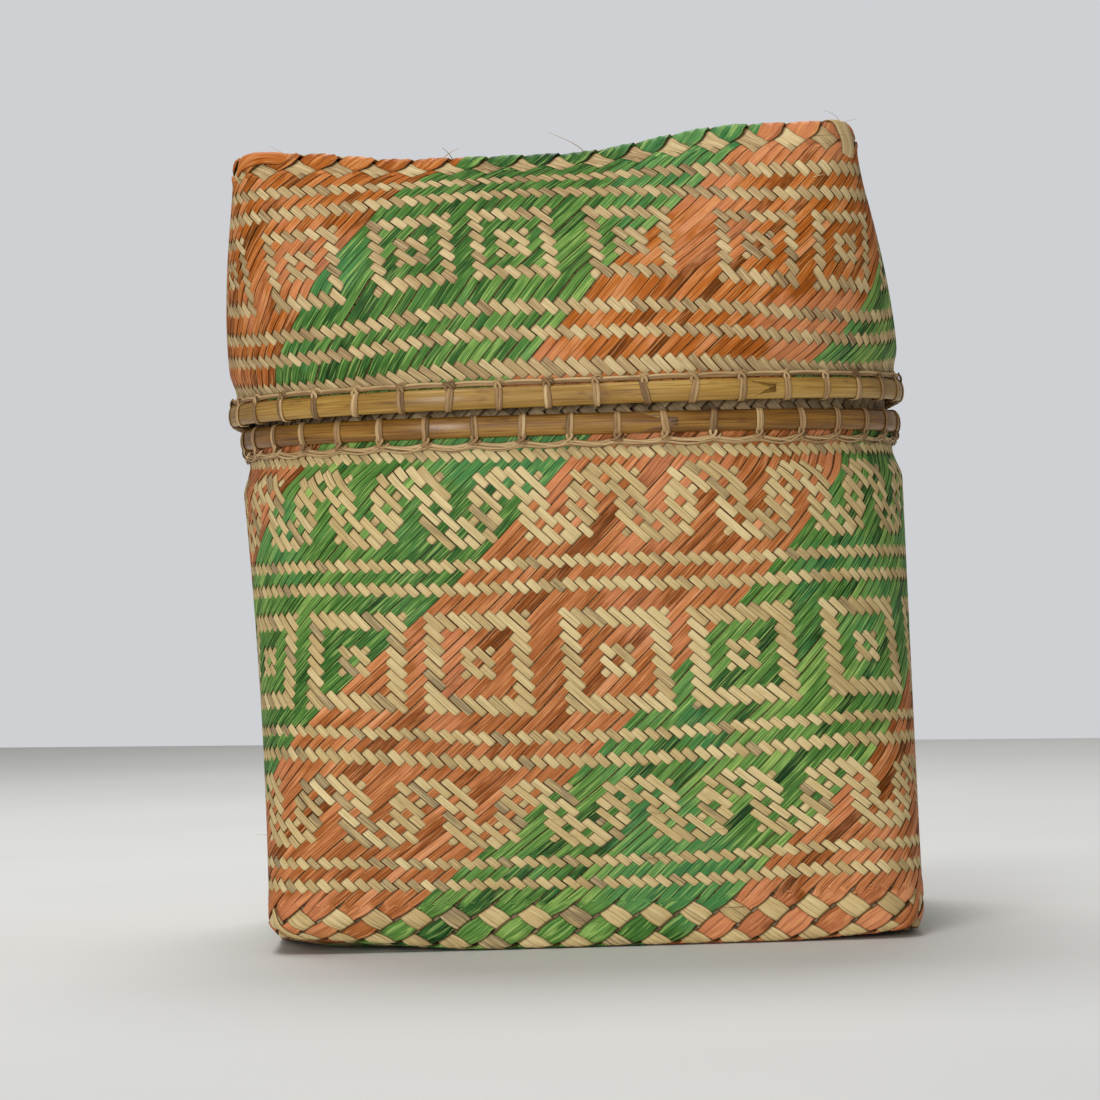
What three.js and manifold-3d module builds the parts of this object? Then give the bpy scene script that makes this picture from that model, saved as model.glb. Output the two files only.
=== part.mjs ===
// A lidded box plaited from split bamboo. The body and the lid are each two baskets, one inside the
// other, with square ends and rounded mouths. A split cane hoop lies round each mouth and is lashed on.
// Millimetres, +Z up, the front faces -Y. The origin is the middle of the face the box rests on.
import * as THREE from 'three';
import { mergeGeometries, mergeVertices } from 'three/addons/utils/BufferGeometryUtils.js';
import Module from 'manifold-3d';

const wasm = await Module();
wasm.setup();

// Body: heights above the table, and half widths from side to side
const bodyHeight = 167;
const baseHalf = 103.6;
const baseCornerRadius = 15;
const baseEdgeRadius = 2.6;
const baseCornerLift = 2.5;
const mouthFlare = 2;
const rimCornerRadius = 76;
const bodyBulge = 2.2;
const bodyBulgeDrop = 9;
const bodyLean = 3.5;
const bodyCurve = 1.8;
const neckHeight = 24;

// Lid: heights above the bottom of its hoop
const lidHeight = 79.8;
const lidTaper = 10.2;
const lidTopCornerRadius = 14;
const lidEdgeRadius = 2.4;
const lidBulge = 1.1;
const lidBulgeRise = 7;
const lidCurve = 1.5;
const lidLean = 4.4;
const lidPeakStart = 36;
const lidFreePlay = 2.7;
const lidShift = 1.1;
const lidTilt = THREE.MathUtils.degToRad(0.6);

// How far each side of the lid stands up, and between which shares of the way to the corner it rises
const leftPeak = { height: 3.2, from: 0.42, to: 0.8 };
const rightPeak = { height: 7, from: 0.06, to: 0.64 };

// Plaiting, hoops and lashing
const outerWall = 0.9;
const liningWall = 0.8;
const clearance = 0.3;
const hoopHeight = 6.7;
const hoopThickness = 2.2;
const hoopCrown = 1.1;
const hoopShoulder = 1.9;
const wrapWidth = 2.5;
const wrapThickness = 0.6;
const strandWidth = 1.7;
const strandThickness = 0.9;
const bodyStrandSag = 0.5;
const lidStrandRise = 0.9;
const garlandWidth = 1;
const garlandThickness = 0.8;
const garlandSag = 1.2;

// Wraps in a quarter of each rim, and the first one's place as a share of their spacing
const bodyWraps = { count: 12, start: 0.95 };
const lidWraps = { count: 12, start: 0.55 };

// Facets along a straight side and round a corner
const sideSteps = 4;
const cornerSteps = 6;

// What follows from the sizes above
const perQuarter = sideSteps + cornerSteps;
const columns = 4 * perQuarter;
const wrapRoom = 2 * clearance + wrapThickness;
const rimHalf = baseHalf + mouthFlare;
const rimStraight = rimHalf - rimCornerRadius;
const lidRimHalf = rimHalf - outerWall - wrapRoom + lidFreePlay + wrapThickness + clearance + outerWall;
const lidTopHalf = lidRimHalf - lidTaper;
const lidRimCornerRadius = lidRimHalf - rimStraight;
const hoopBottom = bodyHeight - hoopHeight;
const bodyPassTop = hoopBottom - clearance;
const bodyStrandTop = bodyPassTop - wrapThickness / 2;
const garlandTop = bodyStrandTop - strandWidth - bodyStrandSag - clearance;
const bodySeat = garlandTop - garlandWidth - garlandSag - clearance;
const lidPassTop = hoopHeight + clearance + wrapThickness;
const lidSeat = lidPassTop - wrapThickness / 2 + strandWidth + lidStrandRise + clearance;
const liningFloor = outerWall + clearance;
const lidLiningFoot = lidPassTop + 2 * clearance;

const smooth = THREE.MathUtils.smoothstep;
const mix = THREE.MathUtils.lerp;

// A section is a square with round corners: half width, corner radius and the shift of its middle along X.
// `step` counts facets round it, from where its front side begins, and may lie between two of them.
function ringPoint(section, offset, step) {
  const low = Math.floor(step);
  if (low !== step) {
    return ringPoint(section, offset, low).lerp(ringPoint(section, offset, low + 1), step - low);
  }
  const straight = section.half - section.corner;
  const radius = section.corner + offset;
  const quarter = Math.floor(step / perQuarter);
  const inQuarter = step - quarter * perQuarter;
  const along = Math.min(inQuarter / sideSteps, 1);
  const turn = (Math.max(inQuarter - sideSteps, 0) / cornerSteps) * (Math.PI / 2);
  const point = new THREE.Vector2(mix(-straight, straight, along), -straight);
  point.x += radius * Math.sin(turn);
  point.y -= radius * Math.cos(turn);
  point.rotateAround(new THREE.Vector2(0, 0), (quarter * Math.PI) / 2);
  point.x += section.shift;
  return point;
}

// `heightAt` is asked where the ring would be without its offset, so nested faces rise alike
function ring(section, offset, heightAt) {
  const points = [];
  for (let k = 0; k < columns; k += 1) {
    const flat = ringPoint(section, offset, k);
    points.push(new THREE.Vector3(flat.x, flat.y, heightAt(ringPoint(section, 0, k))));
  }
  return points;
}

// How near a point is to a corner: 0 at the middle of a side and 1 at the corner
function cornerness(point, section) {
  const reach = Math.min(Math.abs(point.x - section.shift), Math.abs(point.y));
  return reach / section.half;
}

// Body section at a height, for the outer face of the outer basket
function bodySection(z) {
  const bulgeHeight = bodySeat - bodyBulgeDrop;
  const up = THREE.MathUtils.clamp(z / bodySeat, 0, 1);
  const low = mix(baseHalf, rimHalf + bodyBulge, Math.pow(Math.min(z / bulgeHeight, 1), bodyCurve));
  const half = low - bodyBulge * smooth(z, bulgeHeight, bodySeat);
  return { half, corner: mix(baseCornerRadius, rimCornerRadius, up), shift: -bodyLean * up * up };
}

// Lid section at a height above the bottom of its hoop, for the outer face of the outer basket
function lidSection(z) {
  const bulgeHeight = lidSeat + lidBulgeRise;
  const up = THREE.MathUtils.clamp((z - lidSeat) / (lidHeight - lidSeat), 0, 1);
  const above = THREE.MathUtils.clamp((z - bulgeHeight) / (lidHeight - bulgeHeight), 0, 1);
  const widest = lidRimHalf + lidBulge * smooth(z, lidSeat, bulgeHeight);
  const half = mix(widest, lidTopHalf, Math.pow(above, lidCurve));
  return { half, corner: mix(lidRimCornerRadius, lidTopCornerRadius, up), shift: -lidLean * up };
}

// How far the lid stands up towards its corners, more on the right than on the left
function lidPeak(point, section, z) {
  const peak = point.x < section.shift ? leftPeak : rightPeak;
  const rise = smooth(cornerness(point, section), peak.from, peak.to);
  return peak.height * rise * smooth(z, lidPeakStart, lidHeight);
}

function bodyRing(z, offset) {
  return ring(bodySection(z), offset, () => z);
}

function lidRing(z, offset, drop = 0) {
  const section = lidSection(z);
  return ring(section, offset, (point) => z - drop + lidPeak(point, section, z));
}

// Faces of one row of rings of equal count, whose first point has the number `first`
function skin(rings, first) {
  const faces = [];
  for (let i = 0; i + 1 < rings.length; i += 1) {
    const here = first + i * columns;
    faces.push(...band(here, here + columns));
  }
  return faces;
}

// Faces between two rings, given the number of each one's first point
function band(here, there) {
  const faces = [];
  for (let k = 0; k < columns; k += 1) {
    const next = (k + 1) % columns;
    faces.push([here + k, here + next, there + next], [here + k, there + next, there + k]);
  }
  return faces;
}

// Faces that close the inside of a ring round its middle, level with the middle of its sides
function fan(points, first, vertices) {
  const middle = new THREE.Vector3();
  points.forEach((point) => middle.add(point));
  middle.divideScalar(columns).setZ(points[sideSteps / 2].z);
  vertices.push(middle);
  const faces = [];
  for (let k = 0; k < columns; k += 1) {
    faces.push([vertices.length - 1, first + ((k + 1) % columns), first + k]);
  }
  return faces;
}

const flipped = (faces) => faces.map(([a, b, c]) => [a, c, b]);

// A wall between two faces, each a row of rings from the middle of the floor or top to the mouth. Both are
// cut into triangles alike, so what is nested stays nested.
function shell(outside, inside) {
  const vertices = [...outside.flat(), ...inside.flat()];
  const first = outside.length * columns;
  const mouth = band(first - columns, vertices.length - columns);
  const outer = [...skin(outside, 0), ...fan(outside[0], 0, vertices)];
  const inner = [...skin(inside, first), ...fan(inside[0], first, vertices)];
  return solidGeometry(vertices, [...outer, ...mouth, ...flipped(inner)]);
}

// A closed hoop through a row of rings that ends where it began
function torus(rings) {
  const closing = band((rings.length - 1) * columns, 0);
  return solidGeometry(rings.flat(), [...skin(rings, 0), ...closing]);
}

// A geometry from points and triangles, turned so that its faces point out
function solidGeometry(vertices, faces) {
  let volume = 0;
  for (const [a, b, c] of faces) {
    const cross = new THREE.Vector3().crossVectors(vertices[b], vertices[c]);
    volume += vertices[a].dot(cross);
  }
  const index = faces.flatMap(([a, b, c]) => (volume < 0 ? [a, c, b] : [a, b, c]));
  const geometry = new THREE.BufferGeometry();
  geometry.setAttribute('position', new THREE.Float32BufferAttribute(vertices.flatMap((v) => v.toArray()), 3));
  geometry.setIndex(index);
  return geometry;
}

function toSolid(geometry) {
  const bare = geometry.clone();
  bare.deleteAttribute('normal');
  bare.deleteAttribute('uv');
  const merged = mergeVertices(bare);
  const vertProperties = new Float32Array(merged.attributes.position.array);
  const triVerts = new Uint32Array(merged.index.array);
  return new wasm.Manifold(new wasm.Mesh({ numProp: 3, vertProperties, triVerts }));
}

function toGeometry(solid) {
  const mesh = solid.getMesh();
  const geometry = new THREE.BufferGeometry();
  const places = new Float32Array(mesh.triVerts.length * 3);
  mesh.triVerts.forEach((vertex, i) => {
    for (let axis = 0; axis < 3; axis += 1) {
      places[3 * i + axis] = mesh.vertProperties[vertex * mesh.numProp + axis];
    }
  });
  geometry.setAttribute('position', new THREE.BufferAttribute(places, 3));
  return geometry;
}

// The steps round a section at which wraps cross it, spaced evenly along it
function wrapSteps(section, wraps) {
  const side = 2 * (section.half - section.corner);
  const corner = (section.corner * Math.PI) / 2;
  const steps = [];
  for (let i = 0; i < 4 * wraps.count; i += 1) {
    const quarter = Math.floor(i / wraps.count);
    const run = (((i % wraps.count) + wraps.start) / wraps.count) * (side + corner);
    const inSide = (Math.min(run, side) / side) * sideSteps;
    const inCorner = (Math.max(run - side, 0) / corner) * cornerSteps;
    steps.push(quarter * perQuarter + inSide + inCorner);
  }
  return steps;
}

// Where a wrap crosses the wall: a frame with X out of the wall, Y along it and Z up
function wrapFrame(section, step) {
  const quarter = Math.floor(step / perQuarter);
  const inCorner = Math.max(step - quarter * perQuarter - sideSteps, 0) / cornerSteps;
  const facing = (quarter + inCorner - 1) * (Math.PI / 2);
  const place = ringPoint(section, 0, step);
  return new THREE.Matrix4().makeRotationZ(facing).setPosition(place.x, place.y, 0);
}

// One band of cane round the hoop and the wall. `path` holds its inner side as [out, up] pairs.
function wrapLoop(path, frame) {
  const middle = new THREE.Vector2();
  path.forEach(([out, up]) => middle.add(new THREE.Vector2(out, up)));
  middle.divideScalar(path.length);
  const vertices = [];
  for (const [out, up] of path) {
    const outer = [out + Math.sign(out - middle.x) * wrapThickness, up];
    const crown = Math.abs(up - middle.y) > hoopHeight / 2;
    if (crown) {
      outer[1] += Math.sign(up - middle.y) * wrapThickness;
      outer[0] = out > middle.x ? out + wrapThickness / 2 : outer[0];
    }
    vertices.push(new THREE.Vector3(out, -wrapWidth / 2, up), new THREE.Vector3(out, wrapWidth / 2, up));
    vertices.push(new THREE.Vector3(outer[0], wrapWidth / 2, outer[1]));
    vertices.push(new THREE.Vector3(outer[0], -wrapWidth / 2, outer[1]));
  }
  vertices.forEach((vertex) => vertex.applyMatrix4(frame));
  return tube(vertices, 4);
}

// The inner side of a wrap round a hoop from `low` to `high` and round the wall behind it
function wrapPath(low, high) {
  const face = clearance + hoopThickness + clearance;
  const edge = clearance + hoopThickness - hoopCrown + clearance;
  const back = -outerWall - clearance;
  return [
    [face, low + hoopShoulder],
    [face, high - hoopShoulder],
    [edge, high + clearance],
    [back, high + clearance],
    [back, low - clearance],
    [edge, low - clearance],
  ];
}

// The strand that runs from knot to knot, three-sided with its flat side to the wall. Between two knots
// it leaves their height by `swing`.
function runningStrand(section, wraps, low, width, thickness, swing) {
  const knots = wrapSteps(section, wraps);
  const stations = [];
  knots.forEach((knot, i) => {
    const next = i + 1 < knots.length ? knots[i + 1] : knots[0] + columns;
    stations.push([knot, 0]);
    const corners = [];
    for (let k = Math.floor(knot) + 1; k < next; k += 1) {
      corners.push(k);
    }
    const between = corners.length > 0 ? corners : [(knot + next) / 2];
    between.forEach((step) => stations.push([step, swing]));
  });
  const sides = [[0, 0], [thickness, width / 2], [0, width]];
  const vertices = [];
  for (const [step, lift] of stations) {
    for (const [out, up] of sides) {
      const flat = ringPoint(section, clearance + out, step);
      vertices.push(new THREE.Vector3(flat.x, flat.y, low + up + lift));
    }
  }
  return tube(vertices, sides.length);
}

// A closed tube through sections of equal count, one after the other in `vertices`
function tube(vertices, count) {
  const faces = [];
  const stations = vertices.length / count;
  for (let i = 0; i < stations; i += 1) {
    const here = i * count;
    const there = ((i + 1) % stations) * count;
    for (let c = 0; c < count; c += 1) {
      const d = (c + 1) % count;
      faces.push([here + c, here + d, there + d], [here + c, there + d, there + c]);
    }
  }
  return solidGeometry(vertices, faces);
}

function lashing(section, wraps, low, high, strand) {
  const frames = wrapSteps(section, wraps).map((step) => wrapFrame(section, step));
  const loops = frames.map((frame) => wrapLoop(wrapPath(low, high), frame));
  return toGeometry(toSolid(mergeGeometries(loops)).add(toSolid(strand)));
}

// Slots for the wraps, cut through a wall from its outer face
function slots(section, wraps, low, high) {
  const cutters = wrapSteps(section, wraps).map((step) => {
    const box = new THREE.BoxGeometry(outerWall * 3, wrapWidth + 2 * clearance, high - low);
    box.translate(-outerWall / 2, 0, (low + high) / 2);
    return box.applyMatrix4(wrapFrame(section, step));
  });
  return toSolid(mergeGeometries(cutters));
}

// A split cane bent round the mouth, flat inside and crowned outside
function hoop(section, low, high) {
  const inside = clearance;
  const outside = clearance + hoopThickness;
  const edge = outside - hoopCrown;
  const profile = [
    [inside, low],
    [edge, low],
    [outside, low + hoopShoulder],
    [outside, high - hoopShoulder],
    [edge, high],
    [inside, high],
  ];
  return torus(profile.map(([offset, z]) => ring(section, offset, () => z)));
}

const rimSection = bodySection(bodySeat);
const lidRimSection = lidSection(0);

// The face the box rests on is flat well past its middle and rises at the corners
function footRing(inset, lift, offset, floor) {
  const section = bodySection(0);
  const flat = { ...section, half: section.half - inset, corner: Math.max(section.corner - inset, 1) };
  return ring(flat, offset, (point) => floor + lift * smooth(cornerness(point, section), 0.84, 0.97));
}

// A basket's rings from the middle of its floor out and up one face
function bodyFace(offset, floor, top, floorInsets) {
  const rings = floorInsets.map((inset) => footRing(inset, baseCornerLift, 0, floor));
  const low = Math.max(floor + baseEdgeRadius, baseEdgeRadius);
  const bulgeHeight = bodySeat - bodyBulgeDrop;
  for (const z of [low, bulgeHeight, bodySeat, top]) {
    rings.push(bodyRing(z, offset(z)));
  }
  return rings;
}

function bodyOuter() {
  const outside = bodyFace(() => 0, 0, bodyHeight, [baseHalf / 5, baseEdgeRadius]);
  const inside = bodyFace(() => -outerWall, outerWall, bodyHeight, [baseHalf / 5, baseEdgeRadius + outerWall]);
  const basket = toSolid(shell(outside, inside));
  const low = bodyPassTop - wrapThickness - clearance;
  return toGeometry(basket.subtract(slots(rimSection, bodyWraps, low, bodyPassTop + clearance)));
}

// The lining leaves room for the wraps near the mouth, and its neck follows the inside of the lid
function liningOffset(z) {
  return -outerWall - clearance - (wrapRoom - clearance) * THREE.MathUtils.clamp(z / bodySeat, 0, 1);
}

function neckSection(z) {
  const room = lidSection(Math.max(z - bodyHeight, 0)).half - outerWall - clearance - liningWall - lidFreePlay;
  const half = Math.min(rimSection.half + liningOffset(z), room);
  const corner = half - rimStraight;
  return { half, corner, shift: rimSection.shift };
}

function bodyLining() {
  const top = bodyHeight + neckHeight;
  const insets = [baseHalf / 5, baseEdgeRadius + outerWall + clearance];
  const outside = bodyFace(liningOffset, liningFloor, bodyHeight, insets);
  outside.push(ring(neckSection(top), 0, () => top));
  const thin = insets.map((inset, i) => inset + i * liningWall);
  const inside = bodyFace((z) => liningOffset(z) - liningWall, liningFloor + liningWall, bodyHeight, thin);
  inside.push(ring(neckSection(top), -liningWall, () => top));
  return shell(outside, inside);
}

function bodyGarland() {
  const low = garlandTop - garlandWidth;
  return runningStrand(rimSection, bodyWraps, low, garlandWidth, garlandThickness, -garlandSag);
}

// A lid face from the middle of its top over the edge to its mouth. `drop` lowers the top.
function lidFace(offset, foot, drop) {
  const bulgeHeight = lidSeat + lidBulgeRise;
  const edge = lidHeight - lidEdgeRadius;
  const levels = [foot, lidSeat, bulgeHeight, mix(bulgeHeight, edge, 0.5), edge];
  const rings = levels.map((z) => lidRing(z, offset, drop * smooth(z, lidHeight / 2, lidHeight)));
  const section = lidSection(lidHeight);
  for (const inset of [lidEdgeRadius, lidTopHalf / 3]) {
    const flat = { ...section, half: section.half - inset, corner: Math.max(section.corner - inset, 1) };
    rings.push(ring(flat, offset, (point) => lidHeight - drop + lidPeak(point, section, lidHeight)));
  }
  return rings.reverse();
}

function lidOuter() {
  const outside = lidFace(0, 0, 0);
  const inside = lidFace(-outerWall, 0, outerWall);
  const basket = toSolid(shell(outside, inside));
  const low = lidPassTop - wrapThickness - clearance;
  return toGeometry(basket.subtract(slots(lidRimSection, lidWraps, low, lidPassTop + clearance)));
}

function lidLining() {
  const offset = -outerWall - clearance;
  const outside = lidFace(offset, lidLiningFoot, outerWall + clearance);
  const inside = lidFace(offset - liningWall, lidLiningFoot, outerWall + clearance + liningWall);
  return shell(outside, inside);
}

function bodyLashing() {
  const low = bodyStrandTop - strandWidth;
  const strand = runningStrand(rimSection, bodyWraps, low, strandWidth, strandThickness, -bodyStrandSag);
  return lashing(rimSection, bodyWraps, hoopBottom, bodyHeight, strand);
}

function lidLashing() {
  const low = lidPassTop - wrapThickness / 2;
  const strand = runningStrand(lidRimSection, lidWraps, low, strandWidth, strandThickness, lidStrandRise);
  return lashing(lidRimSection, lidWraps, 0, hoopHeight, strand);
}

function piece(name, geometry, color, roughness) {
  const material = new THREE.MeshStandardMaterial({ color, roughness, metalness: 0 });
  const mesh = new THREE.Mesh(geometry, material);
  mesh.name = name;
  return mesh;
}

const body = new THREE.Group();
body.add(piece('body_outer_basket', bodyOuter(), '#c8a377', 0.6));
body.add(piece('body_inner_basket', bodyLining(), '#c4ab83', 0.7));
body.add(piece('body_rim_hoop', hoop(rimSection, hoopBottom, bodyHeight), '#96702f', 0.4));
body.add(piece('body_rim_lashing', bodyLashing(), '#a58c69', 0.65));
body.add(piece('body_rim_garland', bodyGarland(), '#a58c69', 0.65));

// The lid sits askew: its left side bears on the wraps of the body's hoop and its right side stands higher
const lidReach = lidRimHalf + clearance + hoopThickness;
const lidSeatHeight = bodyHeight + wrapRoom + lidReach * Math.sin(lidTilt);
const lid = new THREE.Group();
lid.position.set(rimSection.shift - lidShift, 0, lidSeatHeight);
lid.rotation.y = -lidTilt;
lid.add(piece('lid_outer_basket', lidOuter(), '#b9733a', 0.6));
lid.add(piece('lid_inner_basket', lidLining(), '#c4ab83', 0.7));
lid.add(piece('lid_rim_hoop', hoop(lidRimSection, 0, hoopHeight), '#be9655', 0.4));
lid.add(piece('lid_rim_lashing', lidLashing(), '#a58c69', 0.65));

const box = new THREE.Group();
box.add(body, lid);

export default box;
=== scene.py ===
"""A lidded box plaited from split bamboo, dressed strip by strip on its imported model.

Sizes are in millimetres until a mesh is finished, and heights are over the table or over the bottom of
the lid's hoop. A basket is plaited from two families of strips on the slant: seen from outside, the dyed
ones lean like a slash and the plain ones like a backslash. A place round a basket is counted in strips to
the right from the middle of its front, and rows of the plait are counted down the wall. Strip number and
row fix a crossing.
"""

import logging
import math
from dataclasses import dataclass, field
from enum import Enum
from functools import cache
from typing import Callable, ClassVar, Sequence

import bmesh
import bpy
import numpy as np
from mathutils import Matrix, Vector


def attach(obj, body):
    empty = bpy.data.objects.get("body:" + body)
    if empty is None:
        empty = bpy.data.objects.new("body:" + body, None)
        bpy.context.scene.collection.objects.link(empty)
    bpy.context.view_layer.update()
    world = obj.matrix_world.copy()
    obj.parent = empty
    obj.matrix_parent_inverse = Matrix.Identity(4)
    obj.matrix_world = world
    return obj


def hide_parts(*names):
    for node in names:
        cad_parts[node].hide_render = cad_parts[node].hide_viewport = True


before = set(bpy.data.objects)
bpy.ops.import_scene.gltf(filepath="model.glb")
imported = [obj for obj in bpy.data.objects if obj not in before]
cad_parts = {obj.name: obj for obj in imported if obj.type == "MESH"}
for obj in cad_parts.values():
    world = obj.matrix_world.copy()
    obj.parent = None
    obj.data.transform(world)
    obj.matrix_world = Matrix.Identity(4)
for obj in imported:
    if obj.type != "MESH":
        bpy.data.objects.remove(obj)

MM = 0.001
WELD_REACH = 0.002
LOG = logging.getLogger("plaited_box")

Array = np.ndarray
Place = tuple[float, float, float]
Colour = tuple[float, float, float]
Stops = tuple[tuple[float, Colour], ...]


# Shaders


class Field:
    """A value that varies over a surface: a socket of a node, with arithmetic."""

    def __init__(self, shader: "Shader", socket: bpy.types.NodeSocket) -> None:
        """Wraps an output socket of a shader's node."""
        self.shader = shader
        self.socket = socket

    def _math(self, operation: str, first: "Operand", second: "Operand") -> "Field":
        """Adds a Math node on two operands."""
        return self.shader.node("ShaderNodeMath", {"operation": operation}, {0: first, 1: second})

    def __add__(self, other: "Operand") -> "Field":
        """Sum."""
        return self._math("ADD", self, other)

    def __radd__(self, other: "Operand") -> "Field":
        """Sum, from the right."""
        return self._math("ADD", other, self)

    def __sub__(self, other: "Operand") -> "Field":
        """Difference."""
        return self._math("SUBTRACT", self, other)

    def __rsub__(self, other: "Operand") -> "Field":
        """Difference, from the right."""
        return self._math("SUBTRACT", other, self)

    def __mul__(self, other: "Operand") -> "Field":
        """Product."""
        return self._math("MULTIPLY", self, other)

    def __rmul__(self, other: "Operand") -> "Field":
        """Product, from the right."""
        return self._math("MULTIPLY", other, self)

    def distance(self, other: "Operand") -> "Field":
        """How far the value is from another."""
        return self._math("ABSOLUTE", self - other, 0.0)

    def ramp(self, low: float, high: float) -> "Field":
        """Smoothly from 0 at low to 1 at high."""
        inputs = {0: self, 1: low, 2: high, 3: 0.0, 4: 1.0}
        return self.shader.node("ShaderNodeMapRange", {"interpolation_type": "SMOOTHSTEP"}, inputs)


Operand = Field | float


class Shader:
    """A material whose nodes are added one call at a time."""

    def __init__(self, name: str) -> None:
        """Makes an empty node material of that name."""
        self.material = bpy.data.materials.new(name)
        self.material.use_nodes = True
        self.tree = self.material.node_tree
        self.tree.nodes.clear()

    def node(self, kind: str, settings: dict, inputs: dict, output: int | str = 0) -> Field:
        """Adds a node.

        Args:
            kind: the node's type name.
            settings: its properties, or "stops" with (position, colour) pairs for a colour ramp.
            inputs: values or fields by socket name or number.
            output: the output socket that is wanted.

        Returns:
            That output as a field.
        """
        node = self.tree.nodes.new(kind)
        for key, value in settings.items():
            if key == "stops":
                self._set_stops(node.color_ramp, value)
            else:
                setattr(node, key, value)
        for key, value in inputs.items():
            socket = node.inputs[key]
            if isinstance(value, Field):
                self.tree.links.new(value.socket, socket)
            else:
                socket.default_value = value
        return Field(self, node.outputs[output])

    @staticmethod
    def _set_stops(ramp: bpy.types.ColorRamp, stops: Stops) -> None:
        """Gives a colour ramp its stops."""
        while len(ramp.elements) > 1:
            ramp.elements.remove(ramp.elements[-1])
        for number, (position, colour) in enumerate(stops):
            element = ramp.elements[0] if number == 0 else ramp.elements.new(position)
            element.position = position
            element.color = (*colour, 1.0)

    def colours(self, factor: Field, stops: Stops) -> Field:
        """A colour picked from stops by a factor."""
        return self.node("ShaderNodeValToRGB", {"stops": stops}, {0: factor})

    def mix(self, factor: Operand, first: Field, second: Colour, blend: str = "MIX") -> Field:
        """Mixes a colour into another.

        Args:
            factor: how much of the second.
            first: the colour field that is there.
            second: the colour that comes in.
            blend: the Mix node's way of mixing.

        Returns:
            The mixed colour.
        """
        settings = {"data_type": "RGBA", "blend_type": blend}
        return self.node("ShaderNodeMix", settings, {0: factor, 6: first, 7: (*second, 1.0)}, 2)

    def vector(self, x: Operand, y: Operand, z: Operand) -> Field:
        """A vector from three numbers."""
        return self.node("ShaderNodeCombineXYZ", {}, {0: x, 1: y, 2: z})

    def noise(self, place: Field, scale: float = 1.0, detail: float = 2.0, roughness: float = 0.5) -> Field:
        """Noise between about 0.25 and 0.75 at a place."""
        inputs = {"Vector": place, "Scale": scale, "Detail": detail, "Roughness": roughness}
        return self.node("ShaderNodeTexNoise", {}, inputs)

    def parts(self, vector: Field) -> tuple[Field, Field, Field]:
        """The three parts of a vector or colour."""
        x, y, z = (self.node("ShaderNodeSeparateXYZ", {}, {0: vector}, part) for part in range(3))
        return x, y, z

    def object_place(self) -> Field:
        """Where a point is in its object."""
        return self.node("ShaderNodeTexCoord", {}, {}, "Object")

    def strip_place(self) -> tuple[Field, Field]:
        """Where a point is on its strip: millimetres along it, and 0 to 1 across or round it."""
        along, across, _ = self.parts(self.node("ShaderNodeUVMap", {"uv_map": "strip"}, {}))
        return along, across

    def strip_chances(self) -> tuple[Field, Field, Field]:
        """What the strip was dealt: its shade, its seed and a mark from 0 to 1: a stain, or painted shade
        under other strips.
        """
        return self.parts(self.node("ShaderNodeAttribute", {"attribute_name": "chance"}, {}, "Color"))

    def finish(
        self, colour: Field, roughness: Operand, height: Field, depth: float, **constants: float
    ) -> bpy.types.Material:
        """Closes the material with a Principled BSDF.

        Args:
            colour: base colour.
            roughness: a number or a field.
            height: relief from 0 to 1, for the bump.
            depth: how deep the relief is, in millimetres.
            **constants: further sockets of the BSDF by name, with _ for a space.

        Returns:
            The material.
        """
        relief = {"Height": height, "Strength": 1.0, "Distance": depth * MM}
        normal = self.node("ShaderNodeBump", {}, relief)
        sockets = {key.replace("_", " "): value for key, value in constants.items()}
        sockets |= {"Base Color": colour, "Roughness": roughness, "Normal": normal}
        surface = self.node("ShaderNodeBsdfPrincipled", {}, sockets)
        output = self.tree.nodes.new("ShaderNodeOutputMaterial")
        self.tree.links.new(surface.socket, output.inputs["Surface"])
        return self.material


def screen(red: int, green: int, blue: int) -> Colour:
    """A colour from its 0 to 255 values on screen, as the linear values that shaders take."""

    def linear(value: int) -> float:
        """One channel, by the curve of the sRGB standard."""
        share = value / 255
        return share / 12.92 if share <= 0.04045 else ((share + 0.055) / 1.055) ** 2.4

    return linear(red), linear(green), linear(blue)


def shades(*marks: tuple[float, int, int, int]) -> Stops:
    """The stops of a colour ramp, each from its place and its 0 to 255 values on screen."""
    return tuple((place, screen(*values)) for place, *values in marks)


# Finishes


@dataclass(frozen=True)
class Grain:
    """Noise drawn out along a strip: how often it changes per millimetre along and over the width."""

    along: float
    across: float
    spread: float
    offset: float = 0.0
    detail: float = 2.0
    roughness: float = 0.5

    def on(self, shader: Shader, seed: Field) -> Field:
        """The noise on a strip, which each strip cuts at its own depth, by its seed."""
        along, across = shader.strip_place()
        place = shader.vector(along * self.along, across * self.across, seed * self.spread + self.offset)
        return shader.noise(place, detail=self.detail, roughness=self.roughness)


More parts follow.
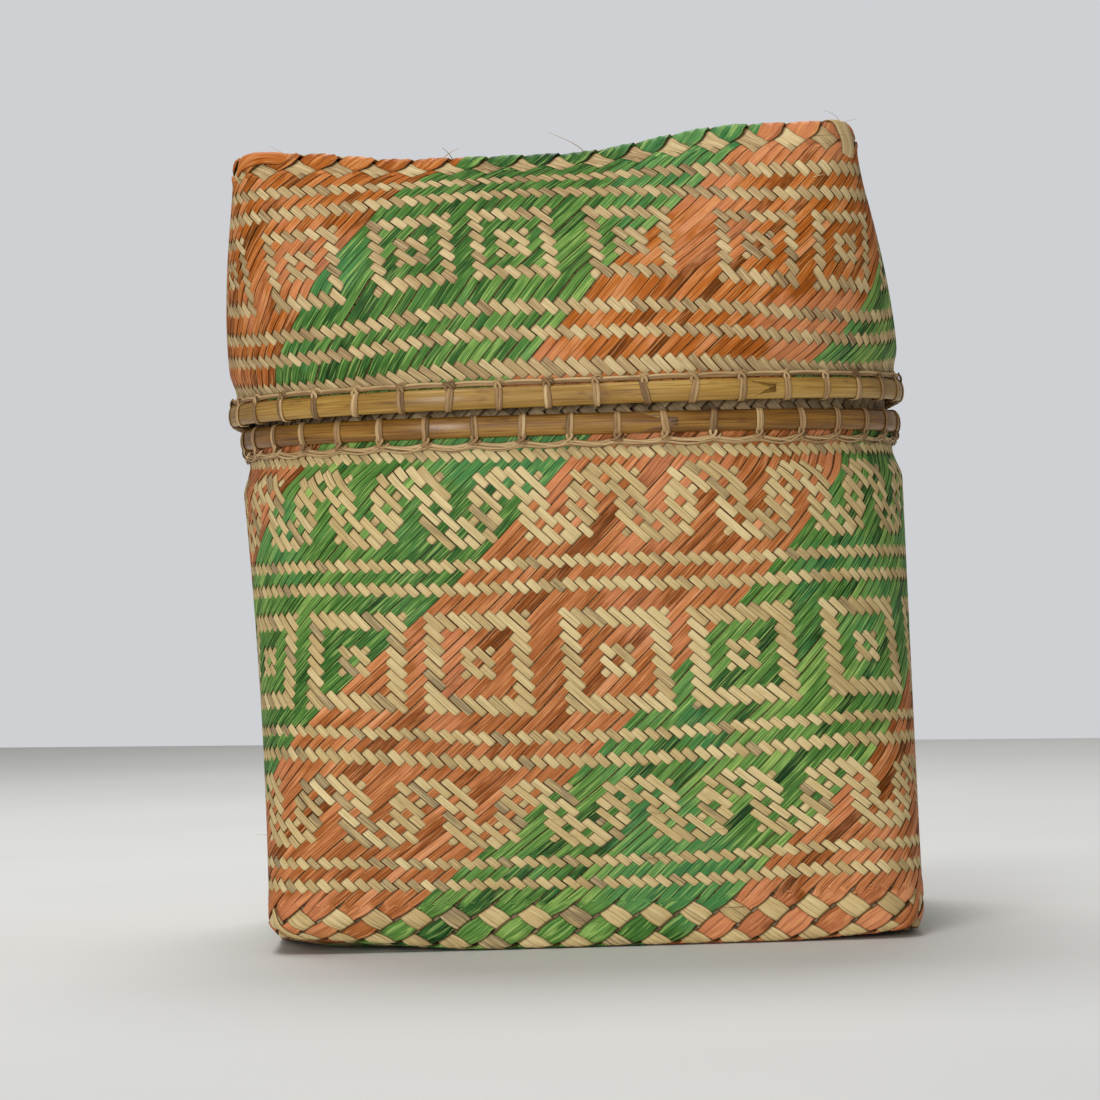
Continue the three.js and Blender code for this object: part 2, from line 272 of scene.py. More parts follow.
@dataclass(frozen=True)
class StripFinish:
    """Split bamboo, dyed or plain: shades from strip to strip, fibres along it and painted shade at its
    edges.

    Dyed ones have patches of another shade, which run on from strip to strip as the dye took. The shares
    say how much of each look comes in at most.
    """

    name: str
    shades: Stops
    streak: Colour
    streak_share: float = 0.5
    fibre_share: float = 0.25
    gap_share: float = 0.45
    side_shade_share: float = 0.8
    under_shade_share: float = 0.85
    patch_share: float = 0.55
    patch_scale: float = 26.0
    fibre_depth: float = 0.06
    roughness: float = 0.5
    sheen: float = 0.08
    shadow: Colour = (0.16, 0.11, 0.06)
    patch: Colour | None = None

    def build(self) -> bpy.types.Material:
        """Makes the material."""
        shader = Shader(self.name)
        _, across = shader.strip_place()
        shade, seed, under = shader.strip_chances()
        fibres = Grain(along=0.05, across=10.0, spread=90.0, detail=3.0, roughness=0.65).on(shader, seed)
        lines = Grain(along=0.09, across=6.0, spread=70.0, offset=9.0, detail=1.0).on(shader, seed)
        blotch = Grain(along=0.12, across=0.8, spread=50.0, offset=5.0).on(shader, seed)
        uneven = fibres - 0.5
        colour = shader.colours(shade + (blotch - 0.5) * 0.6 + uneven * 0.8, self.shades)
        if self.patch:
            cloud = shader.noise(shader.object_place(), self.patch_scale, detail=1.0) + (blotch - 0.5) * 0.3
            colour = shader.mix(cloud.ramp(0.5, 0.64) * self.patch_share, colour, self.patch)
        pale = lines.ramp(0.55, 0.67) * self.streak_share + fibres.ramp(0.54, 0.7) * self.fibre_share
        colour = shader.mix(pale, colour, self.streak)
        side = across.distance(0.5) + uneven * 0.12
        gaps = (1.0 - fibres).ramp(0.51, 0.68) * self.gap_share
        # Fibre gaps are the grain's own dark lines; the edges and the parts under other strips are painted
        # shade
        for dark in (gaps, side.ramp(0.45, 0.5) * self.side_shade_share, under.ramp(0.3, 0.9) * self.under_shade_share):
            colour = shader.mix(dark, colour, self.shadow, "MULTIPLY")
        height = fibres * 0.7 + lines * 0.3 - side.ramp(0.36, 0.49) * 0.8
        roughness = self.roughness + uneven * 0.25
        return shader.finish(colour, roughness, height, self.fibre_depth, Specular_IOR_Level=self.sheen)


@dataclass(frozen=True)
class CaneFinish:
    """Split cane with its skin on: long fibres, slow changes of shade and stains at its joints."""

    name: str
    shades: Stops
    stain: Colour
    mark_share: float = 0.7
    spot_share: float = 0.4
    gap_share: float = 0.35
    side_shade_share: float = 0.0
    fibre_depth: float = 0.07
    roughness: float = 0.36
    coat: float = 0.25
    coat_roughness: float = 0.2
    sheen: float = 0.3
    grain: float = 5.0
    gap: Colour = (0.3, 0.2, 0.1)
    shadow: Colour = (0.3, 0.2, 0.12)

    def build(self) -> bpy.types.Material:
        """Makes the material."""
        shader = Shader(self.name)
        _, across = shader.strip_place()
        shade, seed, mark = shader.strip_chances()
        fine, wide = 5.0 * self.grain, 0.4 * self.grain
        fibres = Grain(along=0.04, across=fine, spread=60.0, detail=3.0, roughness=0.65).on(shader, seed)
        slow = Grain(along=0.02, across=wide, spread=30.0, offset=4.0).on(shader, seed)
        spots = Grain(along=0.14, across=self.grain, spread=20.0, offset=7.0, detail=3.0).on(shader, seed)
        uneven = fibres - 0.5
        colour = shader.colours(shade + (slow - 0.5) * 1.1 + uneven * 0.9, self.shades)
        stain = mark * self.mark_share + spots.ramp(0.6, 0.74) * self.spot_share
        colour = shader.mix(stain, colour, self.stain)
        gaps = (1.0 - fibres).ramp(0.52, 0.7) * self.gap_share
        colour = shader.mix(gaps, colour, self.gap, "MULTIPLY")
        # Painted shade along the sides of a strand, where it meets the hoop and the strands beside it
        if self.side_shade_share:
            side = across.distance(0.25).ramp(0.12, 0.26) * self.side_shade_share
            colour = shader.mix(side, colour, self.shadow, "MULTIPLY")
        gloss = {
            "Coat_Weight": self.coat,
            "Coat_Roughness": self.coat_roughness,
            "Specular_IOR_Level": self.sheen,
        }
        return shader.finish(colour, self.roughness + uneven * 0.3, fibres, self.fibre_depth, **gloss)


@dataclass(frozen=True)
class FloorFinish:
    """A pale matt table top."""

    name: str = "floor"
    shades: Stops = shades((0.3, 209, 209, 207), (0.7, 215, 215, 213))
    roughness: float = 0.6
    sheen: float = 0.2
    cloud_scale: float = 3.0
    grit_scale: float = 900.0
    grit_depth: float = 0.003

    def build(self) -> bpy.types.Material:
        """Makes the material."""
        shader = Shader(self.name)
        place = shader.object_place()
        colour = shader.colours(shader.noise(place, self.cloud_scale), self.shades)
        grit = shader.noise(place, self.grit_scale)
        return shader.finish(colour, self.roughness, grit, self.grit_depth, Specular_IOR_Level=self.sheen)


class Finish(Enum):
    """The finishes of the box."""

    GREEN = StripFinish(
        "split_green",
        shades(
            *((0.05, 26, 56, 26), (0.25, 48, 92, 40), (0.55, 76, 122, 52)),
            *((0.8, 106, 148, 70), (0.97, 156, 184, 96)),
        ),
        screen(182, 212, 118),
        patch=screen(72, 138, 82),
    )
    SALMON = StripFinish(
        "split_salmon",
        shades(
            *((0.05, 104, 54, 14), (0.22, 148, 80, 32), (0.5, 176, 104, 54)),
            *((0.75, 198, 124, 74), (0.97, 224, 158, 112)),
        ),
        screen(236, 166, 110),
        patch=screen(216, 138, 96),
    )
    ORANGE = StripFinish(
        "split_orange",
        shades(
            *((0.05, 104, 54, 8), (0.22, 150, 78, 18), (0.5, 178, 96, 30)),
            *((0.75, 196, 116, 54), (0.97, 218, 150, 100)),
        ),
        screen(236, 168, 104),
        patch=screen(222, 146, 104),
    )
    PLAIN = StripFinish(
        "split_plain",
        shades((0.03, 152, 132, 98), (0.2, 186, 160, 110), (0.55, 204, 178, 124), (0.97, 222, 200, 148)),
        screen(232, 214, 164),
        streak_share=0.35,
        side_shade_share=0.7,
        roughness=0.52,
    )
    PLAIN_LID = StripFinish(
        "split_plain_lid",
        shades((0.03, 136, 112, 80), (0.25, 172, 144, 102), (0.6, 194, 166, 118), (0.97, 220, 196, 146)),
        screen(236, 216, 170),
        streak_share=0.4,
        side_shade_share=0.7,
        roughness=0.52,
    )
    LINING = StripFinish(
        "split_lining",
        shades((0.03, 98, 80, 58), (0.3, 132, 110, 80), (0.6, 156, 132, 98), (0.97, 180, 156, 118)),
        screen(194, 172, 134),
        streak_share=0.3,
        roughness=0.58,
    )
    BODY_CANE = CaneFinish(
        "cane_body_hoop",
        shades((0.1, 70, 42, 12), (0.5, 128, 86, 28), (0.9, 178, 134, 58)),
        screen(70, 42, 22),
        roughness=0.34,
        coat=0.18,
    )
    LID_CANE = CaneFinish(
        "cane_lid_hoop",
        shades((0.1, 110, 76, 26), (0.5, 160, 121, 52), (0.9, 202, 166, 92)),
        screen(104, 64, 30),
        roughness=0.42,
        coat=0.15,
    )
    BINDING = CaneFinish(
        "cane_binding",
        shades((0.1, 112, 84, 52), (0.5, 166, 132, 88), (0.9, 206, 176, 128)),
        screen(92, 60, 36),
        side_shade_share=0.75,
        roughness=0.5,
        coat=0.0,
        grain=1.5,
    )

    @cache
    def material(self) -> bpy.types.Material:
        """The finish's material, made at its first use."""
        return self.value.build()


# Meshes


def sheets(count: int, columns: int, rows: int) -> tuple[bmesh.types.BMesh, Array, Array, Array]:
    """Flat sheets of faces, side by side.

    Args:
        count: number of sheets.
        columns: faces across each.
        rows: faces along each.

    Returns:
        The mesh and, for each vertex, the number of its sheet, its column and its row.
    """
    bm = bmesh.new()
    width = columns + 1
    across = count * width - 1
    bmesh.ops.create_grid(bm, x_segments=across, y_segments=rows, size=0.5)
    bmesh.ops.translate(bm, verts=bm.verts, vec=(0.5, 0.5, 0))
    bmesh.ops.scale(bm, verts=bm.verts, vec=(across, rows, 1))
    between = [face for face in bm.faces if int(face.calc_center_median().x) % width == columns]
    bmesh.ops.delete(bm, geom=between, context="FACES")
    bm.verts.index_update()
    place = np.rint([vertex.co[:2] for vertex in bm.verts]).astype(int)
    return bm, place[:, 0] // width, place[:, 0] % width, place[:, 1]


def finished(
    bm: bmesh.types.BMesh, name: str, points: Array, place: Array, chances: Array, finish: Finish
) -> bpy.types.Object:
    """Turns a bmesh into a piece.

    Args:
        bm: the mesh, which is freed.
        name: name of the piece.
        points: places of its vertices, in millimetres.
        place: the strip's UV map, for each vertex.
        chances: shade, seed and mark (a stain, or where a strip lies under others, for painted shade), for
            each vertex.
        finish: what it is dressed in.

    Returns:
        The new object.
    """
    mesh = bpy.data.meshes.new(name)
    bm.to_mesh(mesh)
    bm.free()
    mesh.vertices.foreach_set("co", (points * MM).astype(np.float32).ravel())
    corners = np.empty(len(mesh.loops), np.int32)
    mesh.loops.foreach_get("vertex_index", corners)
    layer = mesh.uv_layers.new(name="strip")
    layer.uv.foreach_set("vector", place[corners].astype(np.float32).ravel())
    attribute = mesh.attributes.new("chance", "FLOAT_COLOR", "POINT")
    colours = np.column_stack([chances, np.ones(len(chances))])
    attribute.data.foreach_set("color", colours.astype(np.float32).ravel())
    mesh.materials.append(finish.material())
    mesh.shade_smooth()
    piece = bpy.data.objects.new(name, mesh)
    bpy.context.scene.collection.objects.link(piece)
    return piece


def weld(piece: bpy.types.Object, sharp: float = 60.0, ends: bool = True) -> bpy.types.Object:
    """Closes a piece's seams and turns its faces outwards.

    Args:
        piece: the piece.
        sharp: the angle in degrees from which an edge stays sharp.
        ends: whether open ends are closed too.

    Returns:
        The piece.
    """
    bm = bmesh.new()
    bm.from_mesh(piece.data)
    bmesh.ops.remove_doubles(bm, verts=bm.verts, dist=WELD_REACH * MM)
    if ends:
        bmesh.ops.holes_fill(bm, edges=bm.edges, sides=0)
    bmesh.ops.recalc_face_normals(bm, faces=bm.faces)
    bm.to_mesh(piece.data)
    bm.free()
    piece.data.set_sharp_from_angle(angle=math.radians(sharp))
    return piece


def thicken(piece: bpy.types.Object, thickness: float, sharp: float = 50.0) -> bpy.types.Object:
    """Gives a sheet its thickness, half to each side, with crisp edges.

    Args:
        piece: the sheet.
        thickness: in millimetres.
        sharp: the angle in degrees from which an edge stays sharp.

    Returns:
        The piece.
    """
    modifier = piece.modifiers.new("thickness", "SOLIDIFY")
    modifier.thickness = thickness * MM
    modifier.offset = 0.0
    settled = piece.evaluated_get(bpy.context.evaluated_depsgraph_get())
    mesh = bpy.data.meshes.new_from_object(settled)
    piece.modifiers.clear()
    old = piece.data
    piece.data = mesh
    bpy.data.meshes.remove(old)
    mesh.name = piece.name
    mesh.set_sharp_from_angle(angle=math.radians(sharp))
    return piece


def smooth(value: Array, low: float, high: float) -> Array:
    """Smoothly from 0 at low to 1 at high, also where low is the larger."""
    share = np.clip((value - low) / (high - low), 0, 1)
    return share * share * (3 - 2 * share)


def mix(first: Array, second: Array, share: Array) -> Array:
    """Straight line from first to second."""
    return first + (second - first) * share


def bell(distance: Array, width: float) -> Array:
    """Falls from 1 at distance 0 towards 0, within about a width."""
    return np.exp(-((distance / width) ** 2))


def unit(vectors: Array) -> Array:
    """Vectors of length 1."""
    return vectors / np.linalg.norm(vectors, axis=-1, keepdims=True)


def curve(points: Sequence[Place], stations: int) -> Array:
    """A smooth curve through some points.

    Args:
        points: the points that it passes.
        stations: number of places wanted along it.

    Returns:
        The places.
    """
    knots = np.asarray(points, float)
    knots = np.vstack([2 * knots[0] - knots[1], knots, 2 * knots[-1] - knots[-2]])
    run = np.linspace(0, len(points) - 1, stations)
    start = np.minimum(run.astype(int), len(points) - 2)
    t = (run - start)[:, None]
    a, b, c, d = (knots[start + step] for step in range(4))
    return b + 0.5 * t * (c - a + t * (2 * a - 5 * b + 4 * c - d + t * (3 * (b - c) + d - a)))


@dataclass
class Strands:
    """Lengths of split cane, each along its own path, laid flat before they are bent round the box.

    `paths` has a row of places for each strand, and `faces` the way its flat side looks there.
    """

    paths: Array
    faces: Array
    width: float
    thickness: float
    taper: Array | float = 1.0
    corners: int = 8
    closed: bool = False
    paler: float = 0.0
    shade_range: tuple[float, float] = (0.2, 0.8)
    flatness: float = 0.7
    seed: int = 0

    def build(self, name: str, bend: Callable[[Array], Array], finish: Finish) -> bpy.types.Object:
        """Makes the strands one piece.

        Args:
            name: name of the piece.
            bend: takes flat places to where they are on the box.
            finish: what it is dressed in.

        Returns:
            The new object.
        """
        count, stations, _ = self.paths.shape
        bm, number, corner, station = sheets(count, self.corners, stations - 1)
        side, face = self._axes()
        angle = 2 * math.pi * corner / self.corners
        scale = np.broadcast_to(self.taper, (count, stations))[number, station]
        across = self._squared(np.cos(angle)) * self.width / 2 * scale
        high = self._squared(np.sin(angle)) * self.thickness / 2 * scale
        at = number, station
        points = self.paths[at] + side[at] * across[:, None] + face[at] * high[:, None]
        steps = np.linalg.norm(np.diff(self.paths, axis=1), axis=-1)
        run = np.hstack([np.zeros((count, 1)), np.cumsum(steps, axis=1)])
        chance = np.random.default_rng(self.seed).random((2, count))
        shade = mix(*self.shade_range, chance[0][number]) + self.paler
        chances = np.column_stack([shade, chance[1][number], np.zeros(len(number))])
        place = np.column_stack([run[at], corner / self.corners])
        return weld(finished(bm, name, bend(points), place, chances, finish))

    def _axes(self) -> tuple[Array, Array]:
        """The directions across and out of each strand."""
        paths = self.paths
        if self.closed:
            once_round = paths[:, -1:] - paths[:, :1]
            ends = paths[:, -2:-1] - once_round, paths[:, 1:2] + once_round
        else:
            ends = 2 * paths[:, :1] - paths[:, 1:2], 2 * paths[:, -1:] - paths[:, -2:-1]
        longer = np.concatenate([ends[0], paths, ends[1]], axis=1)
        along = unit(longer[:, 2:] - longer[:, :-2])
        side = unit(np.cross(along, np.broadcast_to(self.faces, along.shape)))
        return side, np.cross(side, along)

    def _squared(self, wave: Array) -> Array:
        """Squares a wave a little, for a strand with flat sides and round edges."""
        return np.sign(wave) * np.abs(wave) ** self.flatness


# Forms of the baskets


@dataclass(frozen=True)
class Section:
    """Squares with round corners, one for each place asked: half widths, corner radii and shifts along X."""

    half: Array
    corner: Array
    shift: Array
    least_corner: float = 1.0

    @property
    def quarter(self) -> Array:
        """Length of a quarter of the way round."""
        return 2 * (self.half - self.corner) + math.pi / 2 * self.corner

    def point(self, turn: Array, out: Array) -> Array:
        """Places on the squares.

        Args:
            turn: how far round to the right, from 0 at the middle of the front to 1.
            out: distance outside the squares.

        Returns:
            The places as x, y pairs.
        """
        straight = self.half - self.corner
        run = turn * 4 * self.quarter
        number = np.round(run / self.quarter)
        rest = run - number * self.quarter
        bend = np.clip((np.abs(rest) - straight) / self.corner, 0, math.pi / 4) * np.sign(rest)
        radius = self.corner + out
        x = np.clip(rest, -straight, straight) + radius * np.sin(bend)
        y = -straight - radius * np.cos(bend)
        angle = number * math.pi / 2
        cos, sin = np.cos(angle), np.sin(angle)
        return np.column_stack([x * cos - y * sin + self.shift, x * sin + y * cos])

    def inset(self, distance: Array) -> "Section":
        """The squares drawn in by a distance."""
        corner = np.maximum(self.corner - distance, self.least_corner)
        return Section(self.half - distance, corner, self.shift)

    def reach(self, x: Array, y: Array) -> Array:
        """How near places are to a corner: 0 at the middle of a side and 1 at the corner."""
        return np.minimum(np.abs(x - self.shift), np.abs(y)) / self.half


@dataclass(frozen=True)
class RimSizes:
    """What the two rims share: walls, hoops, lashing and the room between them."""

    wall: float = 0.9
    clearance: float = 0.3
    hoop_height: float = 6.7
    hoop_thickness: float = 2.2
    wrap_thickness: float = 0.6

    @property
    def wrap_room(self) -> float:
        """Room for a wrap between two faces."""
        return 2 * self.clearance + self.wrap_thickness


RIM = RimSizes()


@dataclass(frozen=True)
class Peak:
    """A rise towards a corner: how high, and between which shares of the way from a side's middle."""

    height: float
    start: float
    end: float

    def rise(self, reach: Array) -> Array:
        """How high it stands at shares of the way to the corner."""
        return self.height * smooth(reach, self.start, self.end)


class Form:
    """A basket's face, met by rows of the plait down its wall. Rows lie at heights, drawn in by insets.

    At `sag_rows` the plait lies `corner_sag` rows further down at the corners than amid a side, which comes
    in over `sag_span` of the way to the corner. The profile is read in steps, its bends rounded over some.
    """

    rows: Sequence[float]
    heights: Sequence[float]
    insets: Sequence[float]
    sag_rows: Sequence[float] = (0, 1)
    corner_sag: Sequence[float] = (0, 0)
    sag_span: ClassVar[tuple[float, float]] = (0.1, 0.46)
    profile_steps: ClassVar[int] = 1601
    bend_steps: ClassVar[int] = 12

    def section(self, height: Array) -> Section:
        """The squares at some heights, before any inset."""
        raise NotImplementedError

    def lift(self, x: Array, y: Array, height: Array) -> Array:
        """How far places of the face stand up over their level."""
        raise NotImplementedError

    def sag(self, turn: Array, rows: Array) -> Array:
        """How many rows further down the plait lies, towards the corners."""
        aside = np.abs(4 * turn - np.round(4 * turn))
        return np.interp(rows, self.sag_rows, self.corner_sag) * smooth(aside, *self.sag_span)

    def settle(self, points: Array) -> Array:
        """Moves points from the basket's own place to where it rests."""
        return points

    def profile(self, rows: Array) -> tuple[Array, Array, Array, Array]:
        """Reads the wall's profile, with its bends rounded.

        Args:
            rows: rows of the plait, whole or between.

        Returns:
            Heights, insets, and the out and up parts of the direction the wall faces.
        """
        fine = np.linspace(self.rows[0], self.rows[-1], self.profile_steps)
        height = self._rounded(np.interp(fine, self.rows, self.heights))
        inset = self._rounded(np.interp(fine, self.rows, self.insets))
        out = -np.gradient(height)
        up = np.gradient(self.section(height).half - inset)
        length = np.hypot(out, up)
        lines = height, inset, out / length, up / length
        height, inset, out, up = (np.interp(rows, fine, line) for line in lines)
        return height, inset, out, up

    def _rounded(self, line: Array) -> Array:
        """A line with its bends rounded, by the mean over some steps to each side."""
        span = 2 * self.bend_steps + 1
        longer = np.pad(line, self.bend_steps, "reflect", reflect_type="odd")
        return np.convolve(longer, np.full(span, 1 / span), "valid")

    def point(self, turn: Array, rows: Array, out: Array) -> Array:
        """Places near the face.

        Args:
            turn: how far round to the right, from 0 at the middle of the front to 1.
            rows: rows of the plait down the wall.
            out: distance outside the face.

        Returns:
            The places as x, y, z.
        """
        height, inset, face_out, face_up = self.profile(rows + self.sag(turn, rows))
        section = self.section(height).inset(inset)
        flat = section.point(turn, face_out * out)
        bare = section.point(turn, np.zeros_like(out))
        level = height + face_up * out + self.lift(bare[:, 0], bare[:, 1], height)
        return self.settle(np.column_stack([flat, level]))


@dataclass
class BodyForm(Form):
    """The body's outer face: square at the foot, rounder and a little wider at the mouth."""

    height: float = 167.0
    seat: float = 154.7
    base_half: float = 103.6
    base_corner: float = 15.0
    edge: float = 2.6
    corner_lift: float = 2.5
    rim_half: float = 105.6
    rim_corner: float = 76.0
    bulge: float = 2.2
    bulge_drop: float = 9.0
    lean: float = 3.5
    curve: float = 1.8
    rows: Sequence[float] = (
        *(-6, 0, 3, 15, 18, 19, 22, 23, 27, 43, 47, 48, 51, 52, 55, 67, 70, 71, 74, 75, 78, 81, 84, 87),
        *(87.6, 88.3, 89.2, 90.2),
    )
    heights: Sequence[float] = (
        *(166.9, 155.9, 150.3, 127.2, 121.6, 119.9, 114.1, 112.2, 104.7, 74.7, 67.8, 66.0, 60.3, 58.2, 52.7),
        *(32.9, 27.9, 26.5, 20.8, 19.5, 14.0, 10.0, 5.2, 1.0, 0.6, 0.5, 0.9, 1.2),
    )
    insets: Sequence[float] = (*[0.0] * 23, 0.6, 1.1, 1.8, 3.0, 5.0)
    sag_rows: Sequence[float] = (0, 20, 50, 75, 86)
    corner_sag: Sequence[float] = (0, -0.5, -1.7, -1.1, 0)
    foot_corner: tuple[float, float] = (0.84, 0.97)
    foot: float = 11.0
    left_draw: Peak = Peak(height=4.0, start=0.3, end=0.9)
    right_draw: Peak = Peak(height=1.6, start=0.55, end=0.9)
    draw_middle: float = 20.0
    draw_start: float = 0.72
    tuck: float = 0.7

    def section(self, height: Array) -> Section:
        """The squares at some heights."""
        widest = self.seat - self.bulge_drop
        up = np.clip(height / self.seat, 0, 1)
        rise = np.clip(height / widest, 0, 1) ** self.curve
        low = mix(self.base_half, self.rim_half + self.bulge, rise)
        half = low - self.bulge * smooth(height, widest, self.seat)
        return Section(half, mix(self.base_corner, self.rim_corner, up), -self.lean * up * up)

    def lift(self, x: Array, y: Array, height: Array) -> Array:
        """The foot rises at its corners."""
        rise = smooth(self.section(height).reach(x, y), *self.foot_corner)
        return self.corner_lift * rise * np.clip(1 - height / self.edge, 0, 1)

    def settle(self, points: Array) -> Array:
        """The foot is drawn up and under towards its corners, more on the left."""
        x, y, z = points.T
        across, along = np.abs(x) / self.base_half, np.abs(y) / self.base_half
        reach = np.minimum(across, along)
        rightwards = smooth(x, -self.draw_middle, self.draw_middle)
        drawn = mix(self.left_draw.rise(reach), self.right_draw.rise(reach), rightwards)
        drawn = drawn * smooth(np.maximum(across, along), self.draw_start, 1) * (1 - smooth(z, 0, self.foot))
        inwards = 1 - self.tuck * drawn / self.base_half
        return np.column_stack([x * inwards, y * inwards, z + drawn])


@dataclass
class LidForm(Form):
    """The lid's outer face, from the middle of its top down to the bottom of its hoop."""

    height: float = 79.8
    seat: float = 10.2
    free_play: float = 2.7
    taper: float = 10.2
    top_corner: float = 14.0
    bulge: float = 1.1
    bulge_rise: float = 7.0
    curve: float = 1.5
    lean: float = 4.4
    left_peak: Peak = Peak(height=3.2, start=0.42, end=0.8)
    right_peak: Peak = Peak(height=7.0, start=0.06, end=0.64)
    peak_start: float = 66.0
    shift: float = 1.1
    tilt: float = math.radians(0.6)
    body: BodyForm = field(default_factory=BodyForm)
    rows: Sequence[float] = (
        *(-10.5, -8.5, -6.6, -5.6, -4.9, 0, 2, 3, 6, 7, 10, 22, 26, 27, 30, 31),
        *(35, 37, 38, 44),
    )
    heights: Sequence[float] = (
        *(78.6, 79.0, 79.6, 78.7, 76.9, 74.0, 72.1, 71.2, 67.7, 66.5, 61.1, 41.8, 32.4, 30.4, 24.0, 22.3),
        *(13.8, 10.0, 8.4, 0.2),
    )
    insets: Sequence[float] = (6.3, 3.6, 1.3, 0.4, 0.0, *[0.0] * 15)
    sag_rows: Sequence[float] = (-5, 6, 21, 30, 37, 44)
    corner_sag: Sequence[float] = (0, 1.9, 3.3, 2.3, 1.3, 0)

    @property
    def rim_half(self) -> float:
        """Half width of the lid's mouth, which slides over the neck with room to spare."""
        inner = self.body.rim_half - RIM.wall - RIM.wrap_room + self.free_play
        return inner + RIM.wrap_thickness + RIM.clearance + RIM.wall

    @property
    def seat_height(self) -> float:
        """Height of the lid's hoop over the table, where the lid's left side bears on the body's wraps."""
        reach = self.rim_half + RIM.clearance + RIM.hoop_thickness
        return self.body.height + RIM.wrap_room + reach * math.sin(self.tilt)

    def section(self, height: Array) -> Section:
        """The squares at some heights over the bottom of the hoop."""
        straight = self.body.rim_half - self.body.rim_corner
        widest = self.seat + self.bulge_rise
        up = np.clip((height - self.seat) / (self.height - self.seat), 0, 1)
        above = np.clip((height - widest) / (self.height - widest), 0, 1)
        low = self.rim_half + self.bulge * smooth(height, self.seat, widest)
        half = mix(low, self.rim_half - self.taper, above**self.curve)
        return Section(half, mix(self.rim_half - straight, self.top_corner, up), -self.lean * up)

    def lift(self, x: Array, y: Array, height: Array) -> Array:
        """The lid stands up towards its corners, more on the right."""
        section = self.section(height)
        reach = section.reach(x, y)
        rise = np.where(x < section.shift, self.left_peak.rise(reach), self.right_peak.rise(reach))
        return rise * smooth(height, self.peak_start, self.height)

    def settle(self, points: Array) -> Array:
        """The lid sits askew on the body's hoop, its right side higher."""
        cos, sin = math.cos(self.tilt), math.sin(self.tilt)
        x = points[:, 0] * cos - points[:, 2] * sin - self.body.lean - self.shift
        z = points[:, 0] * sin + points[:, 2] * cos + self.seat_height
        return np.column_stack([x, points[:, 1], z])


@dataclass
class LiningForm(Form):
    """The face of a second basket that lies inside an outer one, drawn in by an offset at each height."""

    outer: Form
    offset: Callable[[Array], Array]
    rows: Sequence[float]
    heights: Sequence[float]
    insets: Sequence[float]

    def section(self, height: Array) -> Section:
        """The outer basket's squares, drawn in."""
        return self.outer.section(height).inset(self.offset(height))

    def lift(self, x: Array, y: Array, height: Array) -> Array:
        """It rises as the outer basket does."""
        return self.outer.lift(x, y, height)

    def settle(self, points: Array) -> Array:
        """It rests where the outer basket does."""
        return self.outer.settle(points)


# The plait

# Strips of each family round an outer basket, and strips that are plaited as one in the wide rows
STRIPS = 192
GROUP = 3

# A row that no plait reaches
NEVER = 1e6


class Motif(Enum):
    """What the rows of a plait show."""

    DYED = 0
    PLAIN = 1
    SCROLL = 2
    SQUARE = 3


Bands = tuple[tuple[Motif, int], ...]


def bands(draft: str) -> Bands:
    """Bands down a wall from words such as P2: the motif's first letter, Q for a square, and its rows."""
    motifs = {"D": Motif.DYED, "P": Motif.PLAIN, "S": Motif.SCROLL, "Q": Motif.SQUARE}
    return tuple((motifs[word[0]], int(word[1:])) for word in draft.split())


# One period of the running scroll, strip by strip from left to right and row by row down: plain on top at N
SCROLL = (
    ".NN.N...NNNNN",
    ".NNNN.NNN.NNN",
    "NN.NNN.NNN.NN",
    "NNN.NNN.NNNN.",
    "NNNNN...N.NN.",
    ".N....NNNN...",
    "....NN.NN....",
    "...NNNN....N.",
)


class Draft:
    """Which family is on top where two strips cross: here plain ones, over some rows and under as many."""

    over: ClassVar[int] = 2

    def plain_on_top(self, dyed: Array, plain: Array) -> Array:
        """Reads the draft at the crossings of dyed strips and plain strips, by their numbers."""
        return (dyed - plain) % (2 * self.over) < self.over


def grouped(strips: Array) -> Array:
    """The numbers of the groups that strips belong to."""
    return (strips + GROUP // 2) // GROUP


@dataclass
class BandedDraft(Draft):
    """Bands of motifs down the wall, with groups of strips plaited as one where the wall is turned.

    Above the bands lies a shoulder of dyed rows, and then plain ones. A square's rim lies between two
    distances from its middle, in strips. The wide rows reach up to the first and down from the second of
    `wide_rows`.
    """

    bands: Bands
    square_rim: tuple[float, float]
    square_places: tuple[float, ...]
    scroll_starts: tuple[int, ...] = ()
    wide_rows: tuple[float, float] = (-math.inf, math.inf)
    shoulder: int = 3

    def __post_init__(self) -> None:
        """Notes what each row shows, how far down its band it is and where its scroll starts."""
        starts = iter(self.scroll_starts)
        rows = []
        for motif, count in self.bands:
            start = next(starts) if motif is Motif.SCROLL else 0
            rows += [(motif.value, down, count, start) for down in range(count)]
        self.table = np.array(rows)
        self.scroll = np.array([[mark == "N" for mark in line] for line in SCROLL])

    def plain_on_top(self, dyed: Array, plain: Array) -> Array:
        """Reads the draft at the crossings of dyed strips and plain strips, by their numbers."""
        row = dyed - plain
        motif, down, count, start = self.table[np.clip(row, 0, len(self.table) - 1)].T
        scrolls = self.scroll[(plain - start) % len(SCROLL), np.minimum(down, self.scroll.shape[1] - 1)]
        side = ((dyed + plain) / 2)[:, None] - self.square_places
        side = np.abs((side + STRIPS / 2) % STRIPS - STRIPS / 2).min(axis=1)
        reach = np.maximum(side, np.abs(down - (count - 1) / 2) / 2)
        low, high = self.square_rim
        squares = ((reach >= low) & (reach <= high)) | ((reach <= 1) & (reach > 0))
        top = np.choose(motif, [np.zeros_like(scrolls), np.ones_like(scrolls), scrolls, squares])
        top = np.where(row < 0, row < -self.shoulder, top)
        coarse = grouped(dyed) - grouped(plain)
        wide = (coarse <= self.wide_rows[0]) | (coarse >= self.wide_rows[1])
        return np.where(wide, coarse % 2 == 1, top)


class Family(Enum):
    """The two families of strips."""

    DYED = "dyed"
    PLAIN = "plain"


